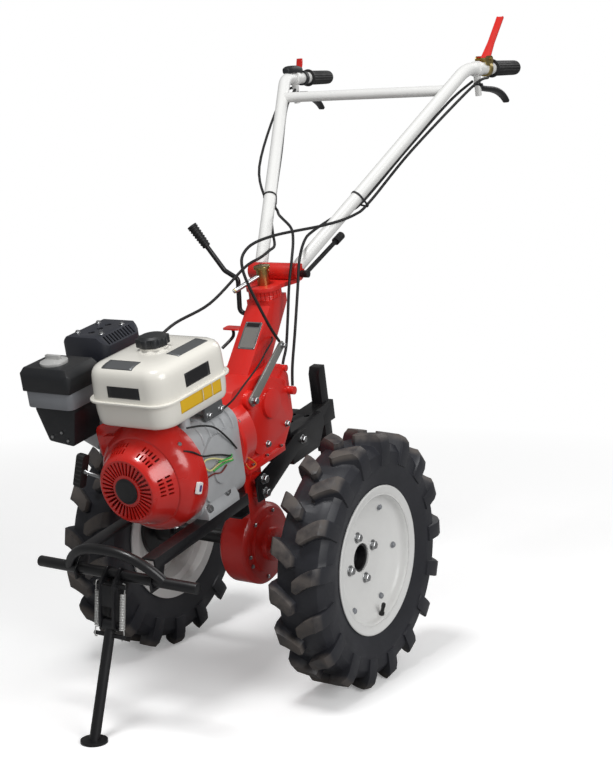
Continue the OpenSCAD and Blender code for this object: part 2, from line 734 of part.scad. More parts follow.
// Rear hitch bracket with its arms to the final drive, and the depth stake in its clamp
module hitch_bracket() {
  half_w = hitch_w / 2;
  low = hitch_top_z - hitch_h;
  front_x = box_rear_x - hitch_plate;
  pin_x_at = -215;
  hole_x_at = -262;
  outer = stake_w / 2 + clamp_wall;
  clamp_low = hitch_top_z - 52;
  cheek = [
    [front_x, hitch_top_z], [hitch_rear_x, hitch_top_z], [hitch_rear_x, hitch_top_z - 34],
    [hitch_rear_x + 34, low], [front_x, low]
  ];
  arm = [
    [40, 186], [40, 128], [0, 126], [front_x, low + 36], [front_x - 46, low + 36],
    [front_x - 46, hitch_top_z - 4], [front_x, hitch_top_z - 4], [-84, box_base_z - 4]
  ];
  color(black_paint) parked() difference() {
    union() {
      both_sides() {
        along_y([half_w - hitch_plate, half_w]) polygon(cheek);
        along_y([plate_y, plate_y + rail_wall]) polygon(arm);
        along_y([half_w - 2, plate_y + 2])
          polygon(box_outline([front_x - 40, front_x - 6], [low + 42, hitch_top_z - 8]));
      }
      along_z([hitch_top_z - hitch_plate, hitch_top_z])
        polygon(box_outline([hitch_rear_x, front_x], [-half_w, half_w]));
      along_z([low, low + hitch_plate])
        polygon(box_outline([hitch_rear_x + 34, front_x], [-half_w, half_w]));
      along_x([front_x, box_rear_x]) polygon(box_outline([-half_w, half_w], [low, hitch_top_z + 86]));
      along_x([hitch_rear_x, hitch_rear_x + hitch_plate])
        polygon(box_outline([-half_w, half_w], [hitch_top_z - 34, hitch_top_z]));
      along_z([clamp_low, hitch_top_z])
        polygon(box_outline([stake_x - outer, hitch_rear_x + 3], [-outer, outer]));
    }
    translate([pin_x_at, 0, low - cut]) cylinder(d = hitch_pin_d, h = hitch_h + 2 * cut);
    for (y = [-20, 20]) translate([hole_x_at, y, hitch_top_z - 2 * hitch_plate]) cylinder(d = 15, h = 30);
    translate([stake_x - stake_w / 2 - seat_gap, -stake_w / 2 - seat_gap, low - cut])
      cube([stake_w + 2 * seat_gap, stake_w + 2 * seat_gap, hitch_h + 2 * cut]);
  }
}
module depth_stake() {
  half = stake_w / 2;
  low = 96;
  top = 327;
  color(black_paint) parked() along_y([-half, half])
    polygon([
      [stake_x - half, low], [stake_x + half, low], [stake_x + half, top - 18], [stake_x + half - 8, top],
      [stake_x - half, top]
    ]);
}

// Clutch arm on the gearbox's left
module clutch_arm() {
  y = [box_w / 2 + 12, box_w / 2 + 18];
  low = [33, 383];
  high = [-109, 470];
  way = unit(high - low);
  side = [-way.y, way.x];
  color(bare_steel) parked() along_y(y)
    polygon(rounded([
      low + 13 * side - 12 * way, low - 13 * side - 12 * way,
      high - 10 * side + 10 * way, high + 10 * side + 10 * way
    ], 8));
}

// Gear lever on the machine's right
gear_path = [
  [-160, -column_w / 2, 528], [-160, -66, 528], [-172, -66, 610], [-165, -97, 632], [-152, -130, 695]
];
gear_way = unit(gear_path[4] - gear_path[3]);
module gear_lever() {
  color(black_paint) parked() bent_rod(gear_path, 12, 14, [1, 0, 0]);
}
module gear_lever_grip() {
  color(black_rubber) parked() rod(gear_path[4], gear_path[4] + gear_way * 62, 24);
}

// Swivelling yoke: toothed seat, plate and the cross tube that takes the handle tubes
yoke_tube_d = 42;
yoke_tube_at = [handle_base.x + 2, handle_base.z + 3];
yoke_half = handle_base.y + 22;
module yoke() {
  way = unit(handle_bend - handle_base);
  neck = swivel_r - 6;
  rear_x = yoke_tube_at.x - 12;
  color(red_paint) parked() {
    translate([-swivel_back, 0, seat_z + running_gap]) toothed_ring();
    along_z([seat_z + ring_h + running_gap, yoke_z]) {
      translate([-swivel_back, 0]) circle(r = swivel_r + 4);
      polygon(rounded([
        [8 - swivel_back, -neck], [8 - swivel_back, neck], [rear_x, yoke_half - 4], [rear_x, 4 - yoke_half]
      ], 8));
    }
    difference() {
      pin_y(yoke_tube_at.x, yoke_tube_at.y, yoke_tube_d, [-yoke_half, yoke_half]);
      both_sides() rod(handle_base, handle_base + way * 80, handle_d + 2 * seat_gap);
    }
  }
}
module lock_bolt() {
  bolt_h = 40;
  color(zinc_yellow) parked() {
    translate([-swivel_back, 0, yoke_z]) cylinder(d = 30, h = bolt_h);
    translate([-swivel_back, 0, yoke_z + bolt_h]) cylinder(d = 40, h = 6);
    rod([-swivel_back - 14, 8, yoke_z + bolt_h - 8], [-swivel_back + 72, -38, yoke_z + 2], 11);
  }
}

// Lever at the yoke's left end, under the handle tube
module tilt_lever() {
  pivot = [yoke_tube_at.x - 6, yoke_half + 11, yoke_tube_at.y - 6];
  tip = pivot + [-168, 0, 44];
  color(black_paint) parked() {
    pin_y(pivot.x, pivot.z, 18, [yoke_half, yoke_half + 20]);
    rod(pivot, tip, 11);
    rod(tip - unit(tip - pivot) * 16, tip + unit(tip - pivot) * 16, 20);
  }
}

// Handlebar tubes, cross tube, grips and controls
module handle_tubes() {
  color(white_paint) parked() both_sides()
    swept(bend_points([handle_base, handle_bend, handle_end], handle_radius, 6), handle_d, handle_wall, 24);
}
module handle_cross() {
  color(white_paint) parked() difference() {
    rod(cross_point, swap_side(cross_point), cross_d);
    both_sides() rod(handle_base, handle_bend, handle_d + 2 * seat_gap);
  }
}
module grips() {
  way = unit(handle_end - handle_bend);
  color(black_rubber) parked() both_sides() difference() {
    rod(handle_end - way * grip_len, handle_end + way * 4, grip_d);
    rod(handle_end - way * (grip_len + 1), handle_end + way * seat_gap, handle_d + 2 * seat_gap);
  }
}
grip_way = unit(handle_end - handle_bend);
function on_grip(from_bend) = handle_bend + grip_way * from_bend;
module clamp_ring(at, half_l, wall) {
  difference() {
    rod(at - grip_way * half_l, at + grip_way * half_l, handle_d + 2 * wall);
    rod(at - grip_way * (half_l + cut), at + grip_way * (half_l + cut), handle_d + 2 * seat_gap);
  }
}
module cable_stop(route) {
  back = unit(route[0] - curve_points(route, cable_steps)[1]);
  rod(route[0] + back * stop_gap, route[0] + back * 16, 11);
}
module hand_levers() {
  at = on_grip(55);
  down = [0, 0, -1];
  path = [
    at + down * 22, at + down * 44 + grip_way * 22, handle_end - grip_way * 40 + down * 52,
    handle_end + down * lever_drop
  ];
  color(black_paint) parked() both_sides() {
    bent_rod(path, 10, 16);
    clamp_ring(at, 16, 4);
    cable_stop(left_turn_route);
  }
}
module clutch_lever() {
  at = on_grip(102);
  color(red_paint) parked() {
    clamp_ring(at, 12, 5);
    cable_stop(clutch_route);
    rod(at + [0, 0, handle_d / 2 + 8], at + [-112, 2, 116], 13);
  }
}
module throttle_lever() {
  at = on_grip(102);
  color(black_paint) parked() mirror([0, 1, 0]) {
    clamp_ring(at, 12, 5);
    mirror([0, 1, 0]) cable_stop(throttle_route);
    rod(at + [0, 0, handle_d / 2 + 8], at + [96, 0, 50], 9);
  }
}

// Wheels, drawn for the left side and mirrored for the right
half_bead = half_rim - rim_lip - 1;
function flipped(p) = [for (i = [len(p) - 1:-1:0]) p[i]];
function far_half(p) = [for (q = p) [q.x, -q.y]];
function carcass_half(inset) = [
  [bead_r, half_bead - inset], [rim_r + 4, half_bead + 0.5 - inset], [rim_r + 40, half_tyre - inset],
  [crown_r - 22 - inset * 0.6, half_tyre - 1 - inset], [crown_r - 6 - inset, half_tyre - 13 - inset * 0.8],
  [crown_r - inset, half_tyre - 33 - inset * 0.4]
];
lug_root = crown_r - 36;
function lug_mid(y) = 32 - y + 0.0062 * y ^ 2;
lug_half = 18;
lug_plan = concat(
  [[lug_mid(2) + 4, 2]],
  [for (y = [12, 26, 42, 58, 76]) [lug_mid(y) + lug_half, y]],
  [for (y = [76, 58, 42, 26, 12, 2]) [lug_mid(y) - lug_half, y]]
);
lug_profile = [
  [0, lug_root], [0, tyre_r], [lug_edge - 15, tyre_r], [lug_edge - 4, tyre_r - 12], [lug_edge, tyre_r - 30],
  [lug_edge - 1, lug_root - 14], [lug_edge - 14, lug_root - 14]
];
module lug() {
  reach = 60;
  intersection() {
    along_z([lug_root - 30, tyre_r + 10]) polygon(lug_plan);
    along_x([-reach, reach]) polygon(lug_profile);
  }
}
module tyre() {
  intersection() {
    rotate([90, 0, 0]) cylinder(r = tyre_r, h = 2 * lug_edge, center = true, $fn = 96);
    for (k = [0:lug_count - 1]) {
      rotate([0, k * lug_pitch, 0]) lug();
      rotate([0, (k + 0.5) * lug_pitch, 0]) mirror([0, 1, 0]) lug();
    }
  }
  outer = carcass_half(0);
  inner = carcass_half(tyre_wall);
  turned_on_y() polygon(concat(outer, flipped(far_half(outer)), far_half(inner), flipped(inner)));
}
module rim() {
  seat = bead_r - seat_gap;
  inner = seat - rim_wall;
  well_in = well_r - rim_wall;
  difference() {
    turned_on_y() {
      polygon([
        [rim_r, -half_rim], [rim_r, rim_lip - half_rim], [seat, rim_lip - half_rim], [seat, -30],
        [well_r, -24], [well_r, 24], [seat, 30], [seat, half_rim - rim_lip],
        [rim_r, half_rim - rim_lip], [rim_r, half_rim],
        [inner, half_rim], [inner, 32], [well_in, 26], [well_in, -26], [inner, -32], [inner, -half_rim]
      ]);
      polygon([
        [hub_bore_r, 1], [88, 1], [112, 8], [well_in + 1, 18], [well_in + 1, 18 + rim_wall],
        [112, 8 + rim_wall], [88, 1 + rim_wall], [hub_bore_r, 1 + rim_wall]
      ]);
    }
    for (k = [0:3]) rotate([0, 20 + 90 * k, 0]) translate([55, 0, 0]) pin_y(0, 0, 18, [-10, 20]);
  }
}
module hub() {
  recess_r = hub_bore_r - 6;
  difference() {
    union() {
      pin_y(0, 0, 2 * hub_r, [1 - hub_thick, 1]);
      pin_y(0, 0, 2 * hub_bore_r, [-hub_back, 2 - hub_thick]);
    }
    pin_y(0, 0, 2 * recess_r, [-34, 10]);
  }
  pin_y(0, 0, axle_d, [stub_inner - half_track, -16]);
}
module left_wheel() { on_axle() translate([0, half_track, 0]) children(); }
module right_wheel() { on_axle() mirror([0, 1, 0]) translate([0, half_track, 0]) children(); }
module left_tyre() { color(tyre_rubber) left_wheel() tyre(); }
module left_rim() { color(white_paint) left_wheel() rim(); }
module left_hub() { color(black_paint) left_wheel() hub(); }
module right_tyre() { color(tyre_rubber) right_wheel() tyre(); }
module right_rim() { color(white_paint) right_wheel() rim(); }
module right_hub() { color(black_paint) right_wheel() hub(); }

// Control cables along their routes, in the level frame
cable_d = 7;
cable_steps = 2;
clutch_route = [
  [-894, 294, 960], [-800, 290, 950], [-609, 203, 828], [-468, 152, 733], [-400, 142, 714], [-320, 104, 708],
  [-157, 60, 722], [-60, 50, 715], [-26, 58, 670], [-60, 80, 545], [-103, 77, 483]
];
left_turn_route = [
  [-846, 272, 959], [-750, 246, 922], [-609, 187, 828], [-468, 131, 732], [-434, 104, 714], [-400, 84, 708],
  [-330, 62, 690], [-285, 64, 678], [-228, 80, 646], [-200, 84, 586], [-165, 84, 489], [-138, 82, 410],
  [-130, 80, 362.2]
];
right_turn_route = [
  [-846, -272, 959], [-750, -246, 922], [-609, -187, 828], [-468, -131, 734], [-434, -104, 714],
  [-400, -78, 712], [-350, -36, 716], [-300, 20, 704], [-262, 46, 682], [-224, 60, 644], [-200, 60, 590],
  [-178, 60, 520], [-158, 58, 452], [-142, 57, 425], [-136, 56, 412.4]
];
throttle_route = [
  [-894, -294, 960], [-800, -290, 945], [-573, -238, 800], [-468, -152, 708], [-400, -104, 664],
  [-330, -50, 648], [-270, -34, 652], [-174, -44, 640], [-39, -60, 588], [90, -84, 570],
  [170, -122, 510], [205, -118, 460]
];
module clutch_cable() { color(black_rubber) parked() cable(clutch_route); }
module left_turn_cable() { color(black_rubber) parked() cable(left_turn_route); }
module right_turn_cable() { color(black_rubber) parked() cable(right_turn_route); }
module throttle_cable() { color(black_rubber) parked() cable(throttle_route); }

final_drive();
gearbox();
column();
engine_block();
fan_shroud();
recoil_cover();
recoil_cap();
fuel_tank();
fuel_cap();
air_cleaner_cover();
air_cleaner_base();
intake_elbow();
air_knob();
muffler();
muffler_guard();
frame_rails();
bumper_bar();
bumper_hoop();
stand_bracket();
stand_leg();
stand_springs();
hitch_bracket();
depth_stake();
clutch_arm();
gear_lever();
gear_lever_grip();
yoke();
lock_bolt();
tilt_lever();
handle_tubes();
handle_cross();
grips();
hand_levers();
clutch_lever();
throttle_lever();
left_tyre();
left_rim();
left_hub();
right_tyre();
right_rim();
right_hub();
clutch_cable();
left_turn_cable();
right_turn_cable();
throttle_cable();
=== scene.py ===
import json
import math

import bmesh
import bpy
from mathutils import Matrix, Vector


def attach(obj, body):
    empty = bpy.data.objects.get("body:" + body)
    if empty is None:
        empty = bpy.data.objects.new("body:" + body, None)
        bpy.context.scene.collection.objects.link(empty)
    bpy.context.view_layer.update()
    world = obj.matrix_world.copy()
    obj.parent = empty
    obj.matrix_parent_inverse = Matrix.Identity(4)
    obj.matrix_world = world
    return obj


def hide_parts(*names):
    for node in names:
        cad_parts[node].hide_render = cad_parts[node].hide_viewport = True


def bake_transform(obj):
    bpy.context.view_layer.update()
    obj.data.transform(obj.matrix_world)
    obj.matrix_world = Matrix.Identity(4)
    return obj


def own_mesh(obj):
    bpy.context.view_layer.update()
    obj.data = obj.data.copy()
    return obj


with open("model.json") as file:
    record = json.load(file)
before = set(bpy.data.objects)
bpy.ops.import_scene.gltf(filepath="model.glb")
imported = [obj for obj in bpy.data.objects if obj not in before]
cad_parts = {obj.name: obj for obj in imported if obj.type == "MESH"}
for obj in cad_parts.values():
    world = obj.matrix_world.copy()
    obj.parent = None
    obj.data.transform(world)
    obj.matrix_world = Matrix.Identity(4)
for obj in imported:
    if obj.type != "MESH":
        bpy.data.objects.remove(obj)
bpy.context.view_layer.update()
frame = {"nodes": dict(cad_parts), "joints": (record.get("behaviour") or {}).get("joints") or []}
nodes = frame["nodes"]
joints = {joint["name"]: joint for joint in frame["joints"]}
scene = bpy.context.scene
print("frame loaded:", len(nodes), "solids")

# the chassis is drawn level in mm from the axle centre, then pitched as it is parked
axle = Vector(joints["left_wheel_spin"]["pos_m"]) * Vector((1, 0, 1))
wheelY = joints["left_wheel_spin"]["pos_m"][1]
swivelAxis = Vector(joints["handlebar_swivel"]["axis"])
pitch = math.atan2(swivelAxis.x, swivelAxis.z)
levelFrame = Matrix.Translation(axle) @ Matrix.Rotation(pitch, 4, "Y") @ Matrix.Scale(0.001, 4)
tilt = Matrix.Rotation(pitch, 3, "Y")
leftWay = Vector((0, 1, 0))
crankZ = 312  # height of the crankshaft


def at(x, y, z):
    return levelFrame @ Vector((x, y, z))


def heading(x, y, z):
    return (tilt @ Vector((x, y, z))).normalized()


def mirrored(point, side):
    return Vector(point) * Vector((1, side, 1))


def polar(radius, angle):
    a = math.radians(angle)
    return radius * math.cos(a), radius * math.sin(a)


def paint(color):
    # a screen colour, 0 to 255, as the shader's linear colour
    parts = [channel / 255 for channel in color]
    return (*(c / 12.92 if c <= 0.04045 else ((c + 0.055) / 1.055) ** 2.4 for c in parts), 1)


# node helpers: a plain number or colour is set on a socket, anything else is linked to it
def feed(tree, value, socket):
    if isinstance(value, (tuple, int, float)):
        socket.default_value = value
    else:
        tree.links.new(value, socket)


def addNode(tree, kind, inputs=None, **settings):
    made = tree.nodes.new(kind)
    for label, value in settings.items():
        setattr(made, label, value)
    for label, value in (inputs or {}).items():
        feed(tree, value, made.inputs[label])
    return made


def mathNode(tree, operation, first, second):
    return addNode(tree, "ShaderNodeMath", {0: first, 1: second}, operation=operation).outputs[0]


def times(tree, first, *others):
    for other in others:
        first = mathNode(tree, "MULTIPLY", first, other)
    return first


def vectorNode(tree, operation, *values):
    return addNode(tree, "ShaderNodeVectorMath", dict(enumerate(values)), operation=operation).outputs


def noiseNode(tree, coords, scale, detail=4, rough=0.55):
    inputs = {"Vector": coords, "Scale": scale, "Detail": detail, "Roughness": rough}
    return addNode(tree, "ShaderNodeTexNoise", inputs).outputs["Fac"]


def rangeNode(tree, value, low, high, to=(0, 1)):
    inputs = {"Value": value, "From Min": low, "From Max": high, "To Min": to[0], "To Max": to[1]}
    return addNode(tree, "ShaderNodeMapRange", inputs).outputs["Result"]


def mixColors(tree, factor, first, second):
    return addNode(tree, "ShaderNodeMix", {0: factor, 6: first, 7: second}, data_type="RGBA").outputs[2]


def objectCoords(tree):
    return addNode(tree, "ShaderNodeTexCoord").outputs["Object"]


def patchMask(tree, scale, span, detail=4):
    return rangeNode(tree, noiseNode(tree, objectCoords(tree), scale, detail), *span)


def faceNormal(tree):
    return addNode(tree, "ShaderNodeNewGeometry").outputs["Normal"]


# shader groups shared by the finishes
def startGroup(name, inputs, outputs):
    tree = bpy.data.node_groups.new(name, "ShaderNodeTree")
    for way, labels in (("INPUT", inputs), ("OUTPUT", outputs)):
        for label in labels:
            kind = "NodeSocketColor" if label in ("Color", "Dust") else "NodeSocketFloat"
            tree.interface.new_socket(name=label, in_out=way, socket_type=kind)
    return tree, tree.nodes.new("NodeGroupInput").outputs, tree.nodes.new("NodeGroupOutput").inputs


toneLook = {"drift": (0.3, 0.7), "darkest": 0.55}


def makeToneGroup():
    # slow drift of a colour, as in sprayed paint or moulded rubber
    tree, into, out = startGroup("toneDrift", ("Color", "Shade", "Scale"), ("Color", "Mask"))
    drift = patchMask(tree, into["Scale"], toneLook["drift"])
    dark = addNode(tree, "ShaderNodeHueSaturation", {"Value": toneLook["darkest"], "Color": into["Color"]})
    factor = times(tree, drift, into["Shade"])
    feed(tree, mixColors(tree, factor, into["Color"], dark.outputs["Color"]), out["Color"])
    feed(tree, drift, out["Mask"])
    return tree


def makeGrainGroup():
    # fine height for cast skin, orange peel and moulded plastic
    tree, into, out = startGroup("surfaceGrain", ("Scale", "Pits"), ("Height",))
    coords = objectCoords(tree)
    fine = noiseNode(tree, coords, into["Scale"], detail=3)
    cells = addNode(tree, "ShaderNodeTexVoronoi", {"Vector": coords, "Scale": into["Scale"]})
    pits = times(tree, cells.outputs["Distance"], into["Pits"])
    feed(tree, mathNode(tree, "ADD", fine, pits), out["Height"])
    return tree


rubLook = {"radius": 0.0025, "facing": (0.995, 0.86), "broken": (0.45, 0.68)}


def makeEdgeGroup():
    # mask along the outer edges, broken up so that no edge wears evenly
    tree, into, out = startGroup("edgeRub", ("Amount", "Scale"), ("Mask",))
    rounded = addNode(tree, "ShaderNodeBevel", {"Radius": rubLook["radius"]}, samples=4)
    facing = vectorNode(tree, "DOT_PRODUCT", rounded.outputs["Normal"], faceNormal(tree))["Value"]
    edge = rangeNode(tree, facing, *rubLook["facing"])
    broken = patchMask(tree, into["Scale"], rubLook["broken"], detail=5)
    feed(tree, times(tree, edge, broken, into["Amount"]), out["Mask"])
    return tree


dustLook = {"color": (176, 168, 156), "upward": (0.1, 0.95), "scale": 14, "patchy": (0.35, 0.75)}


def makeDustGroup():
    # pale dust that settles on faces that look up
    tree, into, out = startGroup("settledDust", ("Color", "Dust", "Amount"), ("Color", "Mask"))
    split = addNode(tree, "ShaderNodeSeparateXYZ", {0: faceNormal(tree)})
    upward = rangeNode(tree, split.outputs["Z"], *dustLook["upward"])
    patchy = patchMask(tree, dustLook["scale"], dustLook["patchy"], detail=6)
    mask = times(tree, upward, patchy, into["Amount"])
    feed(tree, mixColors(tree, mask, into["Color"], into["Dust"]), out["Color"])
    feed(tree, mask, out["Mask"])
    return tree


treadLook = {"scale": 26, "patchy": (0.25, 0.6), "rough": 0.85}


def makeTreadGroup():
    # mask over the tops of the lugs, by distance from the axle
    tree, into, out = startGroup("treadTop", ("From", "To"), ("Mask",))
    offset = vectorNode(tree, "SUBTRACT", objectCoords(tree), tuple(axle))[0]
    flat = vectorNode(tree, "MULTIPLY", offset, (1, 0, 1))[0]
    top = rangeNode(tree, vectorNode(tree, "LENGTH", flat)["Value"], into["From"], into["To"])
    patchy = patchMask(tree, treadLook["scale"], treadLook["patchy"], detail=6)
    feed(tree, times(tree, top, patchy), out["Mask"])
    return tree


groups = {"tone": makeToneGroup(), "grain": makeGrainGroup(), "edge": makeEdgeGroup(),
          "dust": makeDustGroup(), "tread": makeTreadGroup()}


def useGroup(tree, group, **values):
    return addNode(tree, "ShaderNodeGroup", values, node_tree=groups[group]).outputs


def startMaterial(name):
    made = bpy.data.materials.new(name)
    made.use_nodes = True
    return made, made.node_tree


# what holds unless a finish says otherwise
plainLook = {"metal": 0, "coat": 0, "coatRough": 0.12, "pits": 0, "grainDepth": 0.0004}


def makeFinish(name, ownLook):
    look = {**plainLook, **ownLook}
    made, tree = startMaterial(name)
    shader = tree.nodes["Principled BSDF"].inputs
    for label, key in (("Metallic", "metal"), ("Coat Weight", "coat"), ("Coat Roughness", "coatRough")):
        shader[label].default_value = look[key]
    shade, scale = look["tone"]
    tone = useGroup(tree, "tone", Color=paint(look["color"]), Shade=shade, Scale=scale)
    color = tone["Color"]
    rough = rangeNode(tree, tone["Mask"], 0, 1, look["rough"])
    if "rub" in look:
        amount, scale, under = look["rub"]
        edge = useGroup(tree, "edge", Amount=amount, Scale=scale)
        color = mixColors(tree, edge["Mask"], color, paint(under))
    if "dust" in look:
        pale = paint(dustLook["color"])
        color = useGroup(tree, "dust", Color=color, Dust=pale, Amount=look["dust"])["Color"]
    if "tread" in look:
        low, high, worn = look["tread"]
        tread = useGroup(tree, "tread", From=low, To=high)["Mask"]
        color = mixColors(tree, tread, color, paint(worn))
        rough = mathNode(tree, "MAXIMUM", rough, times(tree, tread, treadLook["rough"]))
    feed(tree, color, shader["Base Color"])
    feed(tree, rough, shader["Roughness"])
    strength, scale = look["grain"]
    height = useGroup(tree, "grain", Scale=scale, Pits=look["pits"])["Height"]
    relief = {"Strength": strength, "Distance": look["grainDepth"], "Height": height}
    feed(tree, addNode(tree, "ShaderNodeBump", relief).outputs["Normal"], shader["Normal"])
    return made


# tone: shade and scale; grain: strength and scale; rub: amount, scale and the colour under it;
# tread: from and to, in metres off the axle, and the worn colour
wireLook = {"tone": (0.15, 30), "rough": (0.34, 0.46), "grain": (0.05, 800)}
finishLooks = {
    "redCasting": {"color": (226, 37, 29), "tone": (0.22, 9), "rough": (0.26, 0.42), "coat": 0.35,
                   "grain": (0.25, 260), "rub": (0.35, 60, (150, 60, 50)), "dust": 0.05},
    "redCover": {"color": (206, 32, 24), "tone": (0.15, 7), "rough": (0.2, 0.34), "coat": 0.5,
                 "grain": (0.06, 300), "dust": 0.04},
    "whiteTube": {"color": (238, 238, 236), "tone": (0.06, 6), "rough": (0.34, 0.46), "coat": 0.12,
                  "grain": (0.0, 220)},
    "whiteRim": {"color": (236, 236, 234), "tone": (0.1, 8), "rough": (0.3, 0.45), "coat": 0.25,
                 "grain": (0.12, 200), "rub": (0.2, 60, (160, 158, 154)), "dust": 0.12},
    "whiteTank": {"color": (240, 237, 228), "tone": (0.05, 5), "rough": (0.16, 0.28), "coat": 0.5,
                  "grain": (0.05, 240)},
    "blackPaint": {"color": (20, 20, 23), "tone": (0.4, 12), "rough": (0.3, 0.46), "coat": 0.15,
                   "grain": (0.18, 280), "rub": (0.25, 70, (78, 80, 84)), "dust": 0.03},
    # the muffler guard's black is a lighter, bluer copy of the black paint: painted sky light, standing in
    # for the light its top catches
    "guardPaintedSkyLight": {"color": (46, 48, 56), "tone": (0.3, 12), "rough": (0.34, 0.5), "grain": (0.14, 280),
                   "rub": (0.2, 70, (92, 94, 98))},
    "blackPlastic": {"color": (32, 34, 37), "tone": (0.3, 14), "rough": (0.38, 0.52), "grain": (0.3, 900),
                     "pits": 0.4, "grainDepth": 0.0002, "dust": 0.06},
    "blackRubber": {"color": (28, 28, 29), "tone": (0.3, 20), "rough": (0.5, 0.68), "grain": (0.2, 700),
                    "grainDepth": 0.0002},
    "tyreRubber": {"color": (42, 43, 49), "tone": (0.5, 9), "rough": (0.36, 0.55), "grain": (0.22, 190),
                   "rub": (0.3, 30, (78, 76, 76)), "tread": (0.278, 0.29, (92, 86, 82))},
    "castGrey": {"color": (190, 192, 194), "tone": (0.3, 16), "rough": (0.36, 0.52), "metal": 0.12,
                 "grain": (0.5, 320), "pits": 0.3, "rub": (0.4, 60, (205, 206, 206))},
    "greyPlastic": {"color": (138, 141, 146), "tone": (0.2, 12), "rough": (0.36, 0.5), "grain": (0.2, 600),
                    "grainDepth": 0.0002},
    "bareSteel": {"color": (176, 177, 178), "tone": (0.3, 22), "rough": (0.24, 0.42), "metal": 1,
                  "grain": (0.12, 500), "rub": (0.3, 60, (220, 220, 220))},
    "dullSteel": {"color": (142, 142, 138), "tone": (0.25, 24), "rough": (0.32, 0.46), "metal": 0.3,
                  "grain": (0.1, 400)},
    "springSteel": {"color": (206, 206, 204), "tone": (0.15, 24), "rough": (0.28, 0.4), "metal": 0.35,
                    "grain": (0.05, 400)},
    "zincPlate": {"color": (186, 164, 104), "tone": (0.35, 26), "rough": (0.24, 0.4), "metal": 1,
                  "grain": (0.1, 500)},
    "yellowPanel": {"color": (238, 190, 32), "tone": (0.08, 18), "rough": (0.28, 0.4), "grain": (0.04, 500)},
    "platePrint": {"color": (120, 122, 124), "tone": (0.25, 30), "rough": (0.32, 0.46), "metal": 0.6,
                   "grain": (0.1, 700)},
    "orangeWire": {**wireLook, "color": (232, 112, 38)},
    "greenWire": {**wireLook, "color": (58, 168, 74)},
    "paleWire": {**wireLook, "color": (222, 216, 150)},
    "brownWire": {**wireLook, "color": (120, 46, 40), "tone": (0.2, 30)},
    "plugCore": {**wireLook, "color": (84, 62, 128), "tone": (0.2, 30), "rough": (0.3, 0.42)},
}
finishes = {name: makeFinish(name, look) for name, look in finishLooks.items()}
print("finishes made:", len(finishes))

nodeFinish = {
    "redCasting": ["final_drive", "gearbox", "column", "yoke", "clutch_lever"],
    "redCover": ["fan_shroud", "recoil_cover"],
    "whiteTube": ["handle_tubes", "handle_cross"],
    "whiteTank": ["fuel_tank"],
    "whiteRim": ["left_rim", "right_rim"],
    # the guard's finish carries painted sky light
    "guardPaintedSkyLight": ["muffler_guard"],
    "blackPaint": ["recoil_cap", "muffler", "frame_rails", "bumper_bar", "bumper_hoop", "stand_bracket",
                   "stand_leg", "hitch_bracket", "depth_stake", "gear_lever", "tilt_lever", "hand_levers",
                   "throttle_lever", "left_hub", "right_hub"],
    "blackPlastic": ["fuel_cap", "air_cleaner_cover", "intake_elbow"],
    "blackRubber": ["gear_lever_grip", "grips", "clutch_cable", "left_turn_cable", "right_turn_cable",
                    "throttle_cable"],
    "tyreRubber": ["left_tyre", "right_tyre"],
    "castGrey": ["engine_block"],
    "dullSteel": ["clutch_arm"],
    "greyPlastic": ["air_cleaner_base"],
    "springSteel": ["stand_springs", "air_knob"],
    "zincPlate": ["lock_bolt"],
}
# width of the rounded edge on each solid, in mm; the others keep their drawn edges
edgeRounds = {"final_drive": 3, "gearbox": 4, "column": 3, "yoke": 2, "fan_shroud": 4, "air_cleaner_cover": 4,
              "air_cleaner_base": 2, "intake_elbow": 3, "frame_rails": 1, "hitch_bracket": 1.2,
              "depth_stake": 1.5, "clutch_arm": 1.2, "muffler_guard": 1.2, "fuel_cap": 2.5,
              "stand_bracket": 1, "lock_bolt": 1.5, "engine_block": 2, "air_knob": 1, "gear_lever_grip": 3,
              "left_tyre": 2.5, "right_tyre": 2.5, "left_rim": 1.2, "right_rim": 1.2, "left_hub": 1.5,
              "right_hub": 1.5, "bumper_bar": 2}
# the weld's reach is in metres and the three angles are in degrees
solidLook = {"weld": 0.00002, "flatUnder": 1, "bevelOver": 34, "bevelSteps": 2, "creaseOver": 32}


def dressNode(name, finish):
    solid = nodes[name]
    mesh = solid.data
    mesh.materials.clear()
    mesh.materials.append(finish)
    own = mesh.attributes.get("custom_normal")
    if own:
        mesh.attributes.remove(own)
    mesh.polygons.foreach_set("use_smooth", [True] * len(mesh.polygons))
    weld = solid.modifiers.new("weld", "WELD")
    weld.merge_threshold = solidLook["weld"]
    if name in edgeRounds:
        flat = solid.modifiers.new("flats", "DECIMATE")
        flat.decimate_type = "DISSOLVE"
        flat.angle_limit = math.radians(solidLook["flatUnder"])
        edge = solid.modifiers.new("edges", "BEVEL")
        edge.width = edgeRounds[name] / 1000
        edge.segments = solidLook["bevelSteps"]
        edge.limit_method = "ANGLE"
        edge.angle_limit = math.radians(solidLook["bevelOver"])
        edge.miter_outer = "MITER_ARC"
    split = solid.modifiers.new("creases", "EDGE_SPLIT")
    split.split_angle = math.radians(solidLook["creaseOver"])


for finishName, members in nodeFinish.items():
    for nodeName in members:
        dressNode(nodeName, finishes[finishName])
print("solids dressed")


# mesh helpers: places are in metres, sizes in mm
def squareTo(axis, steep=0.9):
    other = Vector((0, 0, 1)) if abs(axis.z) < steep else Vector((1, 0, 0))
    first = other.cross(axis).normalized()
    return first, axis.cross(first)


def spokes(first, second, sides):
    turns = [math.tau * k / sides for k in range(sides)]
    return [first * math.cos(a) + second * math.sin(a) for a in turns]


def alongLine(points):
    # each point with its share of the line and the line's direction there
    last = len(points) - 1
    for i, point in enumerate(points):
        yield point, i / last, (points[min(i + 1, last)] - points[max(i - 1, 0)]).normalized()


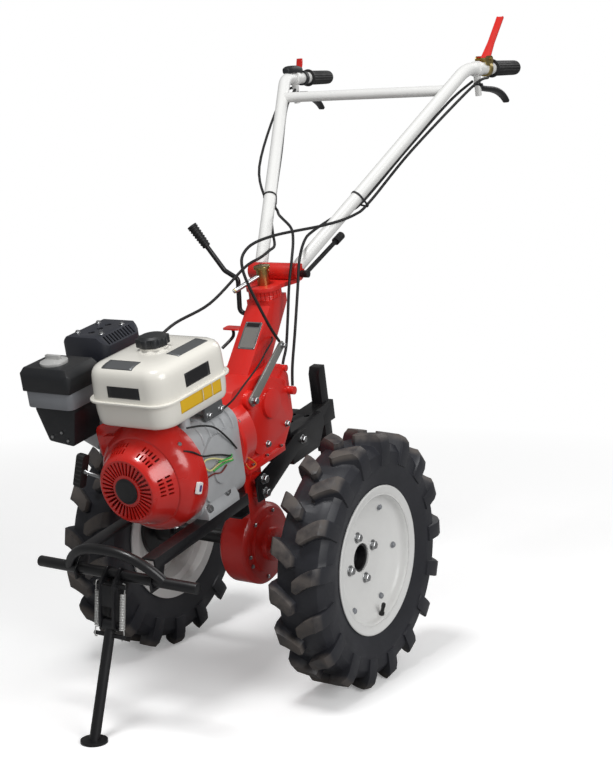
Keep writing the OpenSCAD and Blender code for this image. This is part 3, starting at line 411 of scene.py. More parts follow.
def roundedOutline(halfWide, halfTall, corner, steps):
    outline = []
    for sx, sy, turn in ((1, 1, 0), (-1, 1, 1), (-1, -1, 2), (1, -1, 3)):
        for k in range(steps + 1):
            dx, dy = polar(corner, 90 * (turn + k / steps))
            outline.append(((halfWide - corner) * sx + dx, (halfTall - corner) * sy + dy))
    return outline


def addRings(bm, rings, closed=False):
    made = [[bm.verts.new(point) for point in ring] for ring in rings]
    count = len(made[0])
    for low, high in zip(made, made[1:] + made[:1] if closed else made[1:]):
        for k in range(count):
            bm.faces.new((low[k], low[(k + 1) % count], high[(k + 1) % count], high[k]))
    if not closed:
        bm.faces.new(list(reversed(made[0])))
        bm.faces.new(made[-1])


def addTurned(bm, origin, axis, profile, sides=32):
    # profile is radius and height along the axis
    ways = spokes(*squareTo(axis), sides)
    rings = []
    for radius, height in profile:
        rings.append([origin + (axis * height + way * radius) / 1000 for way in ways])
    addRings(bm, rings)


# a chamfer is given as its height and its depth
boltLook = {"sink": 0.5, "washerTall": 1.8, "washerChamfer": (0.6, 0.6), "seat": 1.7,
            "headChamfer": (1.2, 1.4)}


def addBolt(bm, origin, axis, across, height, washer):
    def addDisc(radius, low, high, chamfer, sides):
        tall, deep = chamfer
        addTurned(bm, origin, axis, [(radius, low), (radius, high - tall), (radius - deep, high)], sides)

    base = boltLook["seat"] if washer else 0
    if washer:
        addDisc(washer, -boltLook["sink"], boltLook["washerTall"], boltLook["washerChamfer"], 24)
    corner = across / 2 / math.cos(math.pi / 6)
    addDisc(corner, base - boltLook["sink"], base + height, boltLook["headChamfer"], 6)


def addCollar(bm, centre, way, ring, sides=40):
    # band round a tube: inner radius, outer radius and width
    inner, outer, wide = ring
    section = [(inner, -wide / 2), (outer, -wide / 2), (outer, wide / 2), (inner, wide / 2)]
    ways = spokes(*squareTo(way), sides)
    addRings(bm, [[centre + (spoke * r + way * h) / 1000 for r, h in section] for spoke in ways], closed=True)


def smoothRoute(points, steps):
    route = []
    last = len(points) - 1
    for i in range(last):
        a, b, c, d = points[max(i - 1, 0)], points[i], points[i + 1], points[min(i + 2, last)]
        for k in range(steps):
            t = k / steps
            route.append(0.5 * (2 * b + (c - a) * t + (2 * a - 5 * b + 4 * c - d) * t ** 2
                                + (3 * b - a - 3 * c + d) * t ** 3))
    return route + [points[last]]


def levelRoute(points, steps):
    return smoothRoute([at(*p) for p in points], steps)


def addTube(bm, points, radius, sides=12):
    # radius is a number, or a function of the share along; the section is carried along without twist
    rings = []
    first = squareTo((points[1] - points[0]).normalized())[0]
    for point, share, turn in alongLine(points):
        first = (first - turn * first.dot(turn)).normalized()
        second = turn.cross(first)
        size = radius(share) if callable(radius) else radius
        rings.append([point + spoke * size / 1000 for spoke in spokes(first, second, sides)])
    addRings(bm, rings)


bladeLook = {"sides": 24, "wideCurve": 0.45, "thickCurve": 0.6}


def addBlade(bm, points, section):
    # flat lever along a line; the section gives half its width and half its thickness at a share of it
    rings = []
    for point, share, turn in alongLine(points):
        broad = (leftWay - turn * leftWay.dot(turn)).normalized()
        thick = turn.cross(broad)
        half, deep = section(share)
        ring = []
        for k in range(bladeLook["sides"]):
            a = math.tau * k / bladeLook["sides"]
            c, s = math.cos(a), math.sin(a)
            ring.append(point + (broad * half * math.copysign(abs(c) ** bladeLook["wideCurve"], c)
                                 + thick * deep * math.copysign(abs(s) ** bladeLook["thickCurve"], s)) / 1000)
        rings.append(ring)
    addRings(bm, rings)


sheetLook = {"side": 0.7, "bevel": 0.3, "mostBevel": 0.6}  # two shares of the thickness, and a limit in mm


def addPlate(bm, centre, right, up, size, corner=3, steps=4):
    # plate with round corners, its back on the centre point; size is width, height and thickness
    width, height, thick = size
    out = right.cross(up).normalized()
    outline = roundedOutline(width / 2, height / 2, corner, steps)
    bevel = min(sheetLook["bevel"] * thick, sheetLook["mostBevel"])
    rings = []
    for lift, inset in ((0, 0), (thick * sheetLook["side"], 0), (thick, bevel)):
        wide, tall = 1 - 2 * inset / width, 1 - 2 * inset / height
        rings.append([centre + (right * x * wide + up * y * tall + out * lift) / 1000 for x, y in outline])
    addRings(bm, rings)


def linkMesh(name, bm, material):
    made = bpy.data.objects.new(name, bpy.data.meshes.new(name))
    bm.to_mesh(made.data)
    bm.free()
    made.data.materials.append(material)
    scene.collection.objects.link(made)
    return made


def placePiece(name, bm, body, finish, smooth=35, stands=()):
    bmesh.ops.recalc_face_normals(bm, faces=bm.faces)
    piece = linkMesh(name, bm, finishes[finish])
    piece.data.polygons.foreach_set("use_smooth", [True] * len(piece.data.polygons))
    piece.data.set_sharp_from_angle(angle=math.radians(smooth))
    if body:
        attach(piece, body)
    if stands:
        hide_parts(*stands)
    return piece


# camera at the photograph's place, in mm over the ground from under the axle
cameraLook = {"place": (2789.9, 1916.1, 1179.3), "right": (-0.5331, 0.84606, -0.0098),
              "up": (-0.12682, -0.06845, 0.98957), "back": (0.83652, 0.52875, 0.14377), "lens": 67.58,
              "sensor": 36, "far": 100}
camera = bpy.data.objects.new("camera", bpy.data.cameras.new("camera"))
scene.collection.objects.link(camera)
camera.data.lens = cameraLook["lens"]
camera.data.sensor_width = cameraLook["sensor"]
camera.data.clip_end = cameraLook["far"]
cameraTurn = Matrix([Vector(cameraLook[key]) for key in ("right", "up", "back")]).transposed().to_4x4()
cameraPlace = Vector(cameraLook["place"]) / 1000 + Vector((axle.x, 0, 0))
camera.matrix_world = Matrix.Translation(cameraPlace) @ cameraTurn
scene.camera = camera
print("camera placed")

# control cables: the routes of the solids, drawn round
cableLook = {"radius": 3.5, "steps": 7, "sides": 14, "bendFrom": (-110, 0, 590), "bendTo": (-430, 0, 700)}
cableRoutes = {
    "clutch_cable": [(-894, 294, 960), (-800, 290, 950), (-609, 203, 828), (-468, 152, 733), (-400, 142, 714),
                     (-320, 104, 708), (-157, 60, 722), (-60, 50, 715), (-26, 58, 670), (-60, 80, 545),
                     (-103, 77, 483)],
    "left_turn_cable": [(-846, 272, 959), (-750, 246, 922), (-609, 187, 828), (-468, 131, 732),
                        (-434, 104, 714), (-400, 84, 708), (-330, 62, 690), (-285, 64, 678), (-228, 80, 646),
                        (-200, 84, 586), (-165, 84, 489), (-138, 82, 410), (-130, 80, 362.2)],
    "right_turn_cable": [(-846, -272, 959), (-750, -246, 922), (-609, -187, 828), (-468, -131, 734),
                         (-434, -104, 714), (-400, -78, 712), (-350, -36, 716), (-300, 20, 704),
                         (-262, 46, 682), (-224, 60, 644), (-200, 60, 590), (-178, 60, 520), (-158, 58, 452),
                         (-142, 57, 425), (-136, 56, 412.4)],
    "throttle_cable": [(-894, -294, 960), (-800, -290, 945), (-573, -238, 800), (-468, -152, 708),
                       (-400, -104, 664), (-330, -56, 652), (-285, -42, 651), (-235, -38, 646),
                       (-174, -44, 638), (-39, -60, 588), (90, -84, 570), (170, -122, 510), (205, -118, 460)],
}
for cableName, points in cableRoutes.items():
    bm = bmesh.new()
    addTube(bm, levelRoute(points, cableLook["steps"]), cableLook["radius"], cableLook["sides"])
    cable = placePiece(cableName + "_jacket", bm, None, "blackRubber", 60, [cableName])
    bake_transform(cable)
print("cables routed:", len(cableRoutes))

# fuel tank: two pressed halves, drawn as one loft of rounded outlines, each an inset and a height
tankLook = {"x": (138, 397), "y": (-97, 115), "corner": 46, "cornerShrink": 0.55, "leastCorner": 12,
            "cornerSteps": 10,
            "profile": [(22, 442), (12, 443.5), (7, 447), (4.5, 454), (3, 466), (2.2, 480), (2, 497.6),
                        (-5, 497.9), (-5.4, 500), (-5, 502.1), (1.4, 502.4), (2, 520), (2.6, 540), (3.6, 554),
                        (6, 563), (10.5, 570), (18, 575), (30, 578), (50, 580), (68, 580.8)],
            "neck": (265, 5, 579), "neckProfile": [(37, 0), (37, 2.2), (34, 3.6), (31, 5), (30.5, 9)]}


def tankOutline(inset, z):
    (rear, front), (right, left) = tankLook["x"], tankLook["y"]
    corner = max(tankLook["corner"] - max(inset, 0) * tankLook["cornerShrink"], tankLook["leastCorner"])
    halfX, halfY = (front - rear) / 2 - inset, (left - right) / 2 - inset
    outline = roundedOutline(halfX, halfY, corner, tankLook["cornerSteps"])
    return [at((rear + front) / 2 + x, (right + left) / 2 + y, z) for x, y in outline]


def tankSkin(share):
    # inset and height at a share of the profile's points
    i = min(int(share), len(tankLook["profile"]) - 2)
    a, b = tankLook["profile"][i], tankLook["profile"][i + 1]
    return [p + (q - p) * (share - i) for p, q in zip(a, b)]


bm = bmesh.new()
addRings(bm, [tankOutline(inset, z) for inset, z in tankLook["profile"]])
placePiece("tank_shell", bm, "chassis", "whiteTank", 40, ["fuel_tank"])
bm = bmesh.new()
addTurned(bm, at(*tankLook["neck"]), heading(0, 0, 1), tankLook["neckProfile"], 40)
placePiece("filler_neck", bm, "chassis", "whiteTank")

# plain panels on the tank: side, reach along it, and shares of the profile
panelLook = {"steps": 8, "lift": 0.5, "crown": (3, 40), "thick": 0.6}
tankPanels = {
    "tank_panel_yellow": ("yellowPanel", [("left", (338, 258), (4.0, 5.95)),
                                          ("left", (255, 224), (4.0, 5.95)),
                                          ("left", (221, 190), (4.0, 5.95))]),
    "tank_panel_dark": ("blackPaint", [("left", (310, 222), (10.75, 12.4)),
                                       ("front", (-30, 55), (10.6, 11.9))]),
    "tank_panel_grey": ("platePrint", [("left", (292, 184), (16.6, 18.4)),
                                       ("front", (-47, 35), (15.5, 17.9))]),
}


def addTankPatch(bm, side, along, shares):
    # sheet that follows the tank's skin
    steps, lift = panelLook["steps"], panelLook["lift"]
    crownFrom, crownOver = panelLook["crown"]
    grid = []
    for i in range(steps + 1):
        inset, z = tankSkin(shares[0] + (shares[1] - shares[0]) * i / steps)
        tall = z + lift * max(0.0, (inset - crownFrom) / crownOver)
        line = []
        for k in range(steps + 1):
            run = along[0] + (along[1] - along[0]) * k / steps
            if side == "left":
                line.append(at(run, tankLook["y"][1] - inset + lift, tall))
            else:
                line.append(at(tankLook["x"][1] - inset + lift, run, tall))
        grid.append([bm.verts.new(point) for point in line])
    for low, high in zip(grid, grid[1:]):
        for k in range(steps):
            bm.faces.new((low[k], low[k + 1], high[k + 1], high[k]))


for panelName, (finish, patches) in tankPanels.items():
    bm = bmesh.new()
    for patch in patches:
        addTankPatch(bm, *patch)
    panel = placePiece(panelName, bm, "chassis", finish, 60)
    skin = panel.modifiers.new("skin", "SOLIDIFY")
    skin.thickness = panelLook["thick"] / 1000
    skin.offset = 0
print("tank finished")

# return springs of the stand: close coils with a hook at each end, given as distance down and reach
springLook = {"turns": 23, "perTurn": 14, "radius": 5.1, "wire": 1.35, "side": 34, "ear": 22, "footAhead": 65,
              "coilFrom": 14.5, "hookTop": [(-7.8, 0), (-5.6, 5.6), (0, 7), (7, 6)],
              "hookLow": [(-7, 6), (0, 7.2), (5, 5.6), (7.3, 0)], "sides": 8, "keep": 0.854}
standPivot = Vector(joints["stand_fold"]["pos_m"])
springPin = Vector(joints["stand_spring_swing"]["pos_m"])
legWay = (Vector((standPivot.x + springLook["footAhead"] / 1000, 0, 0)) - standPivot).normalized()
springEar = standPivot + legWay * springLook["ear"] / 1000
springWay = (springEar - springPin).normalized()
springLong = (springEar - springPin).length * 1000
coilLong = springLong - 2 * springLook["coilFrom"]
coilSteps = springLook["turns"] * springLook["perTurn"]
springLine = [(down, reach, 0) for down, reach in springLook["hookTop"]]
for k in range(coilSteps + 1):
    springLine.append((springLook["coilFrom"] + coilLong * k / coilSteps,
                       *polar(springLook["radius"], 360 * k / springLook["perTurn"])))
springLine += [(springLong + down, reach, 0) for down, reach in springLook["hookLow"]]
bm = bmesh.new()
for side in (1, -1):
    across = leftWay * side
    lead = across.cross(springWay)
    start = springPin + across * springLook["side"] / 1000
    line = []
    for down, reach, out in springLine:
        line.append(start + (springWay * down + lead * reach + across * out) / 1000)
    addTube(bm, line, springLook["wire"], springLook["sides"])
springs = placePiece("spring_coils", bm, None, "springSteel", 60, ["stand_springs"])
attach(springs, "stand_spring_pair")
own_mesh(springs)
print("springs wound")

# grip sleeves with lengthwise ribs; a station is the distance along, the radius and the share of rib
gripLook = {"end": (-1065, 295, 959), "bend": (-806, 275, 996), "length": 130, "ribs": 15, "ribDepth": 1.7,
            "ribFlat": 0.1, "sides": 120,
            "stations": [(0, 17.2, 0), (0.6, 23.4, 0), (4, 24, 0), (7, 22, 0), (9, 20, 0.2), (13, 19.9, 1),
                         (60, 19.7, 1), (118, 19.3, 1), (123, 19.2, 0.3), (127, 18.6, 0), (131, 16.6, 0),
                         (133.4, 12, 0), (134, 6, 0)]}
gripEnd = Vector(gripLook["end"])
gripBend = Vector(gripLook["bend"])
gripWay = (gripEnd - gripBend).normalized()


def onGrip(fromBend, side, drop=0.0, out=0.0):
    return at(*mirrored(gripBend + gripWay * fromBend + Vector((0, out, -drop)), side))


def gripHeading(side):
    return heading(*mirrored(gripWay, side))


ribDepths = []
for k in range(gripLook["sides"]):
    wave = math.cos(math.tau * k / gripLook["sides"] * gripLook["ribs"])
    groove = max(0.0, wave - gripLook["ribFlat"]) / (1 - gripLook["ribFlat"])
    ribDepths.append(gripLook["ribDepth"] * groove ** 0.5)
bm = bmesh.new()
for side in (1, -1):
    start = at(*mirrored(gripEnd - gripWay * gripLook["length"], side))
    way = gripHeading(side)
    ways = spokes(*squareTo(way), gripLook["sides"])
    rings = []
    for along, radius, ribbed in gripLook["stations"]:
        rings.append([start + (way * along + spoke * (radius - depth * ribbed)) / 1000
                      for spoke, depth in zip(ways, ribDepths)])
    addRings(bm, rings)
placePiece("grip_sleeves", bm, "handlebar", "blackRubber", 50, ["grips"])

# hand levers under the grips: clamp, perch and curved blade, as distance past the clamp and drop
perchLook = {"clamp": 55, "wide": 17, "deep": 15, "taper": 1.5, "top": 17, "tall": 52, "ring": (16.2, 20, 16),
             "blade": [(-6, 37), (12, 48), (40, 52), (75, 55), (106, 62), (130, 74), (145, 88)],
             "steps": 6, "bladeSteps": 5, "bladeHalf": (9, 2), "bladeThick": (5, 2.2),
             "pin": (2, 42, -12), "pinSize": (5, 24, 20)}


def perchSection(t):
    return perchLook["wide"] / 2 - perchLook["taper"] * t, perchLook["deep"] / 2


def leverSection(t):
    swell = math.sin(math.pi * t)
    return [size + grow * swell for size, grow in (perchLook["bladeHalf"], perchLook["bladeThick"])]


def addPin(bm, origin, radius, long, sides):
    addTurned(bm, origin, leftWay, [(radius, 0), (radius, 1), (radius, long - 1), (radius, long)], sides)


bm = bmesh.new()
perch = bmesh.new()
clamp = perchLook["clamp"]
for side in (1, -1):
    addCollar(perch, onGrip(clamp, side), gripHeading(side), perchLook["ring"])
    steps = perchLook["steps"]
    drops = [perchLook["top"] + perchLook["tall"] * k / steps for k in range(steps + 1)]
    addBlade(perch, [onGrip(clamp, side, drop) for drop in drops], perchSection)
    blade = [onGrip(clamp + along, side, drop) for along, drop in perchLook["blade"]]
    addBlade(bm, smoothRoute(blade, perchLook["bladeSteps"]), leverSection)
    along, drop, out = perchLook["pin"]
    addPin(bm, onGrip(clamp + along, side, drop, out), *perchLook["pinSize"])
placePiece("lever_perches", perch, "handlebar", "whiteTube", 40)
placePiece("lever_blades", bm, "handlebar", "blackPaint", 50, ["hand_levers"])

# clutch lever: pressed blade with lips, on a plated clamp with two ears
clutchLook = {"clamp": 102, "foot": (0, 0, 20), "tip": (-112, 2, 116), "ring": (16.2, 20.5, 13), "steps": 24,
              "shoulder": 0.42, "half": (14.5, 9), "narrowing": 0.8, "widening": 0.6, "thick": 3.6,
              "lip": (1.8, 2.6, 2.4), "lipSides": 8, "ears": (38, 25, 3), "earCorner": (10, 6),
              "earPlace": (8, 14, 0), "earLift": 21, "earSink": 2,
              "pin": (0, -21, 24), "pinSize": (4, 42, 18)}
clutchAt = gripBend + gripWay * clutchLook["clamp"]
clutchFoot = at(*(clutchAt + Vector(clutchLook["foot"])))
clutchTip = at(*(clutchAt + Vector(clutchLook["tip"])))


def clutchSection(t):
    # narrows from the clamp to the shoulder, then widens a little
    broad, narrow = clutchLook["half"]
    shoulder = clutchLook["shoulder"]
    if t < shoulder:
        half = broad - (broad - narrow) * (t / shoulder) ** clutchLook["narrowing"]
    else:
        half = narrow + clutchLook["widening"] * (t - shoulder)
    return half, clutchLook["thick"]


bm = bmesh.new()
clutchLine = []
for k in range(clutchLook["steps"] + 1):
    clutchLine.append(clutchFoot + (clutchTip - clutchFoot) * k / clutchLook["steps"])
addBlade(bm, clutchLine, clutchSection)
face = leftWay.cross((clutchTip - clutchFoot).normalized())
lipInset, lipRise, lipRadius = clutchLook["lip"]
for edge in (1, -1):
    lip = []
    for k, point in enumerate(clutchLine):
        half = clutchSection(k / clutchLook["steps"])[0]
        lip.append(point + (leftWay * edge * (half - lipInset) + face * lipRise) / 1000)
    addTube(bm, lip, lipRadius, clutchLook["lipSides"])
placePiece("clutch_blade", bm, "handlebar", "redCasting", 50, ["clutch_lever"])
bm = bmesh.new()
clutchWay = gripHeading(1)
addCollar(bm, at(*clutchAt), clutchWay, clutchLook["ring"])
earUp = (heading(0, 0, 1) - clutchWay * heading(0, 0, 1).dot(clutchWay)).normalized()
for edge in (1, -1):
    right = clutchWay * -edge
    middle = at(*(clutchAt + mirrored(clutchLook["earPlace"], edge)))
    middle += (earUp * clutchLook["earLift"] - right.cross(earUp) * clutchLook["earSink"]) / 1000
    addPlate(bm, middle, right, earUp, clutchLook["ears"], *clutchLook["earCorner"])
addPin(bm, at(*(clutchAt + Vector(clutchLook["pin"]))), *clutchLook["pinSize"])
placePiece("clutch_clamp", bm, "handlebar", "zincPlate", 40)

# throttle: a pod over the right tube with a red tab, as distance from the bend and rise
throttleLook = {"clamp": 102, "ring": (16.2, 20.5, 13), "steps": 4,
                "podHalf": (4, 12), "podThick": (3, 8), "podArc": (0.06, 0.88), "podCurve": 0.6,
                "tabHalf": (6, 4), "tabThick": 2.6, "tabArc": (0.15, 0.6),
                "pod": [(8, 20), (16, 21), (30, 23), (50, 24), (70, 23), (84, 21), (92, 20)],
                "tab": [(86, 22), (92, 32), (96, 43), (99, 54)]}


def arcSwell(arc, t):
    return math.sin(math.pi * (arc[0] + arc[1] * t))


def podSection(t):
    swell = arcSwell(throttleLook["podArc"], t) ** throttleLook["podCurve"]
    return [size + grow * swell for size, grow in (throttleLook["podHalf"], throttleLook["podThick"])]


def tabSection(t):
    size, grow = throttleLook["tabHalf"]
    return size + grow * arcSwell(throttleLook["tabArc"], t), throttleLook["tabThick"]


def throttleRoute(part):
    points = [onGrip(along, -1, -rise) for along, rise in throttleLook[part]]
    return smoothRoute(points, throttleLook["steps"])


bm = bmesh.new()
addBlade(bm, throttleRoute("pod"), podSection)
addCollar(bm, onGrip(throttleLook["clamp"], -1), gripHeading(-1), throttleLook["ring"])
placePiece("throttle_pod", bm, "handlebar", "blackPlastic", 50, ["throttle_lever"])
bm = bmesh.new()
addBlade(bm, throttleRoute("tab"), tabSection)
placePiece("throttle_tab", bm, "handlebar", "redCover", 50)
print("levers shaped")

# handle tubes: straight from the yoke, one bend, then the grip's seat
tubeLook = {"base": (-242, 47, 609.3), "bendRadius": 70, "bendSteps": 12, "radius": 16, "gap": 24,
            "sides": 48}


def tubeRoute(a, b, c):
    inWay, outWay = (b - a).normalized(), (c - b).normalized()
    turn = inWay.angle(outWay)
    reach = tubeLook["bendRadius"] * math.tan(turn / 2)
    centre = b + (outWay - inWay).normalized() * tubeLook["bendRadius"] / math.cos(turn / 2)
    arcStart = b - inWay * reach
    axis = inWay.cross(outWay).normalized()
    runIn, runOut = (arcStart - a).length, (c - b).length - reach
    inSteps, outSteps = int(runIn / tubeLook["gap"]), int(runOut / tubeLook["gap"])
    route = [a + inWay * runIn * k / inSteps for k in range(inSteps)]
    for k in range(tubeLook["bendSteps"] + 1):
        swing = Matrix.Rotation(turn * k / tubeLook["bendSteps"], 3, axis)
        route.append(centre + swing @ (arcStart - centre))
    last = route[-1]
    return route + [last + outWay * runOut * (k + 1) / outSteps for k in range(outSteps)]


bm = bmesh.new()
for side in (1, -1):
    corners = [mirrored(p, side) for p in (tubeLook["base"], gripLook["bend"], gripLook["end"])]
    addTube(bm, [at(*p) for p in tubeRoute(*corners)], tubeLook["radius"], tubeLook["sides"])
placePiece("tube_runs", bm, "handlebar", "whiteTube", 50, ["handle_tubes"])

# bright sleeve on the lock bolt's bar
lockLook = {"from": (-197, 8, 627.3), "to": (-111, -38, 597.3), "shares": (0.3, 1.015), "steps": 10,
            "sides": 20, "radius": 5.9, "tipRadius": 4.7}


def lockRadius(t):
    return lockLook["tipRadius"] if t == 1 else lockLook["radius"]


lockFrom, lockTo = Vector(lockLook["from"]), Vector(lockLook["to"])
low, high = lockLook["shares"]
line = []
for k in range(lockLook["steps"] + 1):
    line.append(at(*(lockFrom + (lockTo - lockFrom) * (low + (high - low) * k / lockLook["steps"]))))
bm = bmesh.new()
addTube(bm, line, lockRadius, lockLook["sides"])
placePiece("lock_sleeve", bm, "handlebar", "bareSteel", 40)

# ribbed grip of the gear lever: collar, ribs that grow a little, and a knob, as radius and height
gearLook = {"from": (-165, -97, 632), "foot": (-152, -130, 695), "length": 62,
            "ribs": 7, "ribFrom": 5, "grow": 0.25,
            "collar": [(7, -1), (9.6, 0), (10.2, 1), (10.2, 4)],
            "rib": [(9.2, 0), (9.2, 0.3), (11.2, 0.48), (11.2, 0.84)],
            "knob": [(11, -5), (12.4, -4), (12.4, -1.5), (11, 0), (4, 0.6)]}
gearWay = (Vector(gearLook["foot"]) - Vector(gearLook["from"])).normalized()
ribLong = (gearLook["length"] - 2 * gearLook["ribFrom"]) / gearLook["ribs"]
profile = list(gearLook["collar"])
for k in range(gearLook["ribs"]):
    profile += [(radius + gearLook["grow"] * k, gearLook["ribFrom"] + ribLong * (k + share))
                for radius, share in gearLook["rib"]]
profile += [(radius, gearLook["length"] + past) for radius, past in gearLook["knob"]]
bm = bmesh.new()
addTurned(bm, at(*gearLook["foot"]), heading(*gearWay), profile)
placePiece("gear_grip_sleeve", bm, "chassis", "blackRubber", 40, ["gear_lever_grip"])
print("handlebar finished")

# rims, bolts and valve for both wheels; a bolt row is finish, lift, radius, first angle, count and sizes
wheelLook = {"bolts": {"_bolts": ("bareSteel", 5, 55, 20, 4, (17, 9, 13)),
                       "_rim_bolts": ("greyPlastic", 19.4, 125, 2, 6, (11, 4, 8))},
             "valve": (147, 106, 36), "valveLean": 0.35, "sides": 112,
             "stem": [(6.5, -2), (6.5, 5), (4.4, 8), (4.2, 22), (5, 23), (5, 31), (3.4, 33)],
             "rim": [(174, 49), (174.4, 51.4), (173.2, 52.7), (171, 53), (168.6, 52.4), (164, 51),
                     (157.5, 49.8), (153.4, 48.4), (150.6, 45.6), (149, 41.5), (148, 36), (146, 31),
                     (142, 27.4), (137.4, 24.4), (132, 22.4), (126, 20.2), (119, 16.6), (112, 13),
                     (102, 9.2), (92, 6.3), (80, 5), (34, 5), (34, 1), (80, 1), (92, 2.3), (102, 5.2),
                     (112, 8.6), (119, 11.6), (126, 15), (134, 18.4), (134, -26), (148, -32), (148, -53),
                     (174, -53), (174, -49), (151.8, -49), (151.8, -30), (138, -24), (138, 24),
                     (151.8, 30), (151.8, 49)]}


def onWheel(side, radius, angle, lift):
    x, z = polar(radius, angle)
    return axle + leftWay * wheelY * side + Vector((x, lift * side, -z)) / 1000


for side, sideName in ((1, "left"), (-1, "right")):
    body = sideName + "_wheel"
    outward = leftWay * side
    angles = [360 / wheelLook["sides"] * k for k in range(wheelLook["sides"])]
    rings = [[onWheel(side, radius, a, lift) for a in angles] for radius, lift in wheelLook["rim"]]
    bm = bmesh.new()
    addRings(bm, rings, closed=True)
    placePiece(body + "_rim_dish", bm, body, "whiteRim", 40, [sideName + "_rim"])
    for ending, (finish, lift, radius, turn, count, sizes) in wheelLook["bolts"].items():
        bm = bmesh.new()
        for k in range(count):
            addBolt(bm, onWheel(side, radius, turn + 360 / count * k, lift), outward, *sizes)
        placePiece(body + ending, bm, body, finish, 30)
    radius, angle, lift = wheelLook["valve"]
    inward = (onWheel(side, 0, 0, 0) - onWheel(side, radius, angle, 0)).normalized()
    stemWay = (inward + outward * wheelLook["valveLean"]).normalized()
    bm = bmesh.new()
    addTurned(bm, onWheel(side, radius, angle, lift), stemWay, wheelLook["stem"], 16)
    placePiece(body + "_valve", bm, body, "blackRubber", 40)
print("wheels bolted")

# bolts on the chassis: place, axis, width across flats, head, washer
boltSets = {
    "elbow_bolts": [((377, y, z), (1, 0, 0), 7, 4, 0) for y, z in ((-199, 410), (-228, 398), (-184, 392))],
    "gearbox_bolts": [((x, 71 * s, z), (0, s, 0), 12, 6, 8.5)
                      for s in (1, -1) for x, z in ((-98, 276), (-10, 258), (50, 300))],
    "flange_bolts": [((x, 66.5 * s, 228), (0, 0, 1), 8, 5, 0) for s in (1, -1) for x in (-70, -8, 52)],
    "drive_bolts": [((x, 39.5 * s, z), (0, s, 0), 9, 5, 0)
                    for s in (1, -1) for x, z in (polar(81, a) for a in range(0, 360, 57))],
    "plate_bolts": [((10, 60 * s, z), (0, s, 0), 17, 9, 13) for s in (1, -1) for z in (141, 176)],
    "foot_bolts": [((x, y * s, z), (0, 0.916 * s, 0.4), 13, 7, 10)
                   for s in (1, -1) for x, y, z in ((206, 97.1, 231), (281, 101, 222))],
    "hitch_bolts": [((-172, 60 * s, 206), (0, s, 0), 15, 8, 11) for s in (1, -1)]
                   + [((-149, 30 * s, z), (-1, 0, 0), 13, 7, 10) for s in (1, -1) for z in (262, 300)],
    "arm_bolts": [((33, 80, 383), (0, 1, 0), 15, 9, 11), ((-109, 80, 470), (0, 1, 0), 10, 8, 7)],
    "bell_bolts": [((116, y, crankZ + z), (-1, 0, 0), 11, 6, 7)
                   for y, z in (polar(98, a) for a in (-24, 30, 150, 204, 240, 300))],
    "shroud_bolts": [((337, 120 * y, crankZ + 120 * z), (0, y, z), 9, 8, 0)
                     for y, z in (polar(1, a) for a in (-8, 42, -68, 214))],
    "guard_bolts": [((172 + 37 * sx, -222 + 35 * sy, 585), (0, 0, 1), 9, 4, 7)
                    for sx in (1, -1) for sy in (1, -1)],
}
for setName, bolts in boltSets.items():
    bm = bmesh.new()
    for place, axis, *sizes in bolts:
        addBolt(bm, at(*place), heading(*axis), *sizes)
    placePiece(setName, bm, "chassis", "bareSteel", 30)
print("bolt sets:", len(boltSets))

# webs over the crankcase's shoulder and a bracket under the tank
caseLook = {"webs": (150, 178, 206, 234, 262), "web": 3.4, "corner": (58, 368, 40), "ends": (4, 18),
            "steps": 12, "sides": 10, "bracket": (196, 84, 424), "bracketSize": (66, 40, 5),
            "bracketCorner": 6, "bolts": (22, 4.5, -8), "boltSize": (11, 6, 8)}
bm = bmesh.new()
cornerY, cornerZ, cornerR = caseLook["corner"]
lowEnd, highEnd = caseLook["ends"]
for x in caseLook["webs"]:
    line = [at(x, cornerY + cornerR, cornerZ - lowEnd)]
    for k in range(caseLook["steps"] + 1):
        dy, dz = polar(cornerR, 90 * k / caseLook["steps"])
        line.append(at(x, cornerY + dy, cornerZ + dz))
    line.append(at(x, cornerY - highEnd, cornerZ + cornerR))
    addTube(bm, line, caseLook["web"], caseLook["sides"])
placePiece("crankcase_webs", bm, "chassis", "castGrey", 50)
bm = bmesh.new()
addPlate(bm, at(*caseLook["bracket"]), heading(-1, 0, 0), heading(0, 0, 1), caseLook["bracketSize"],
         caseLook["bracketCorner"])
placePiece("tank_bracket", bm, "chassis", "platePrint", 40)
bm = bmesh.new()
x, y, z = caseLook["bracket"]
dx, dy, dz = caseLook["bolts"]
for side in (1, -1):
    addBolt(bm, at(x + dx * side, y + dy, z + dz), heading(0, 1, 0), *caseLook["boltSize"])
placePiece("tank_bracket_bolts", bm, "chassis", "bareSteel", 30)

# tab and link on the column's right face
tabLook = {"place": (-112, -57, 503), "size": (48, 26, 4), "corner": 6, "radius": 4, "steps": 6, "sides": 14,
           "link": [(-116, -62, 504), (-117, -62, 488), (-110, -65, 478), (-82, -75, 463)]}
bm = bmesh.new()
addPlate(bm, at(*tabLook["place"]), heading(0, 1, 0), heading(-1, 0, 0), tabLook["size"], tabLook["corner"])
placePiece("column_tab", bm, "chassis", "redCasting", 40)
bm = bmesh.new()
addTube(bm, levelRoute(tabLook["link"], tabLook["steps"]), tabLook["radius"], tabLook["sides"])
placePiece("column_link", bm, "chassis", "blackPaint", 50)

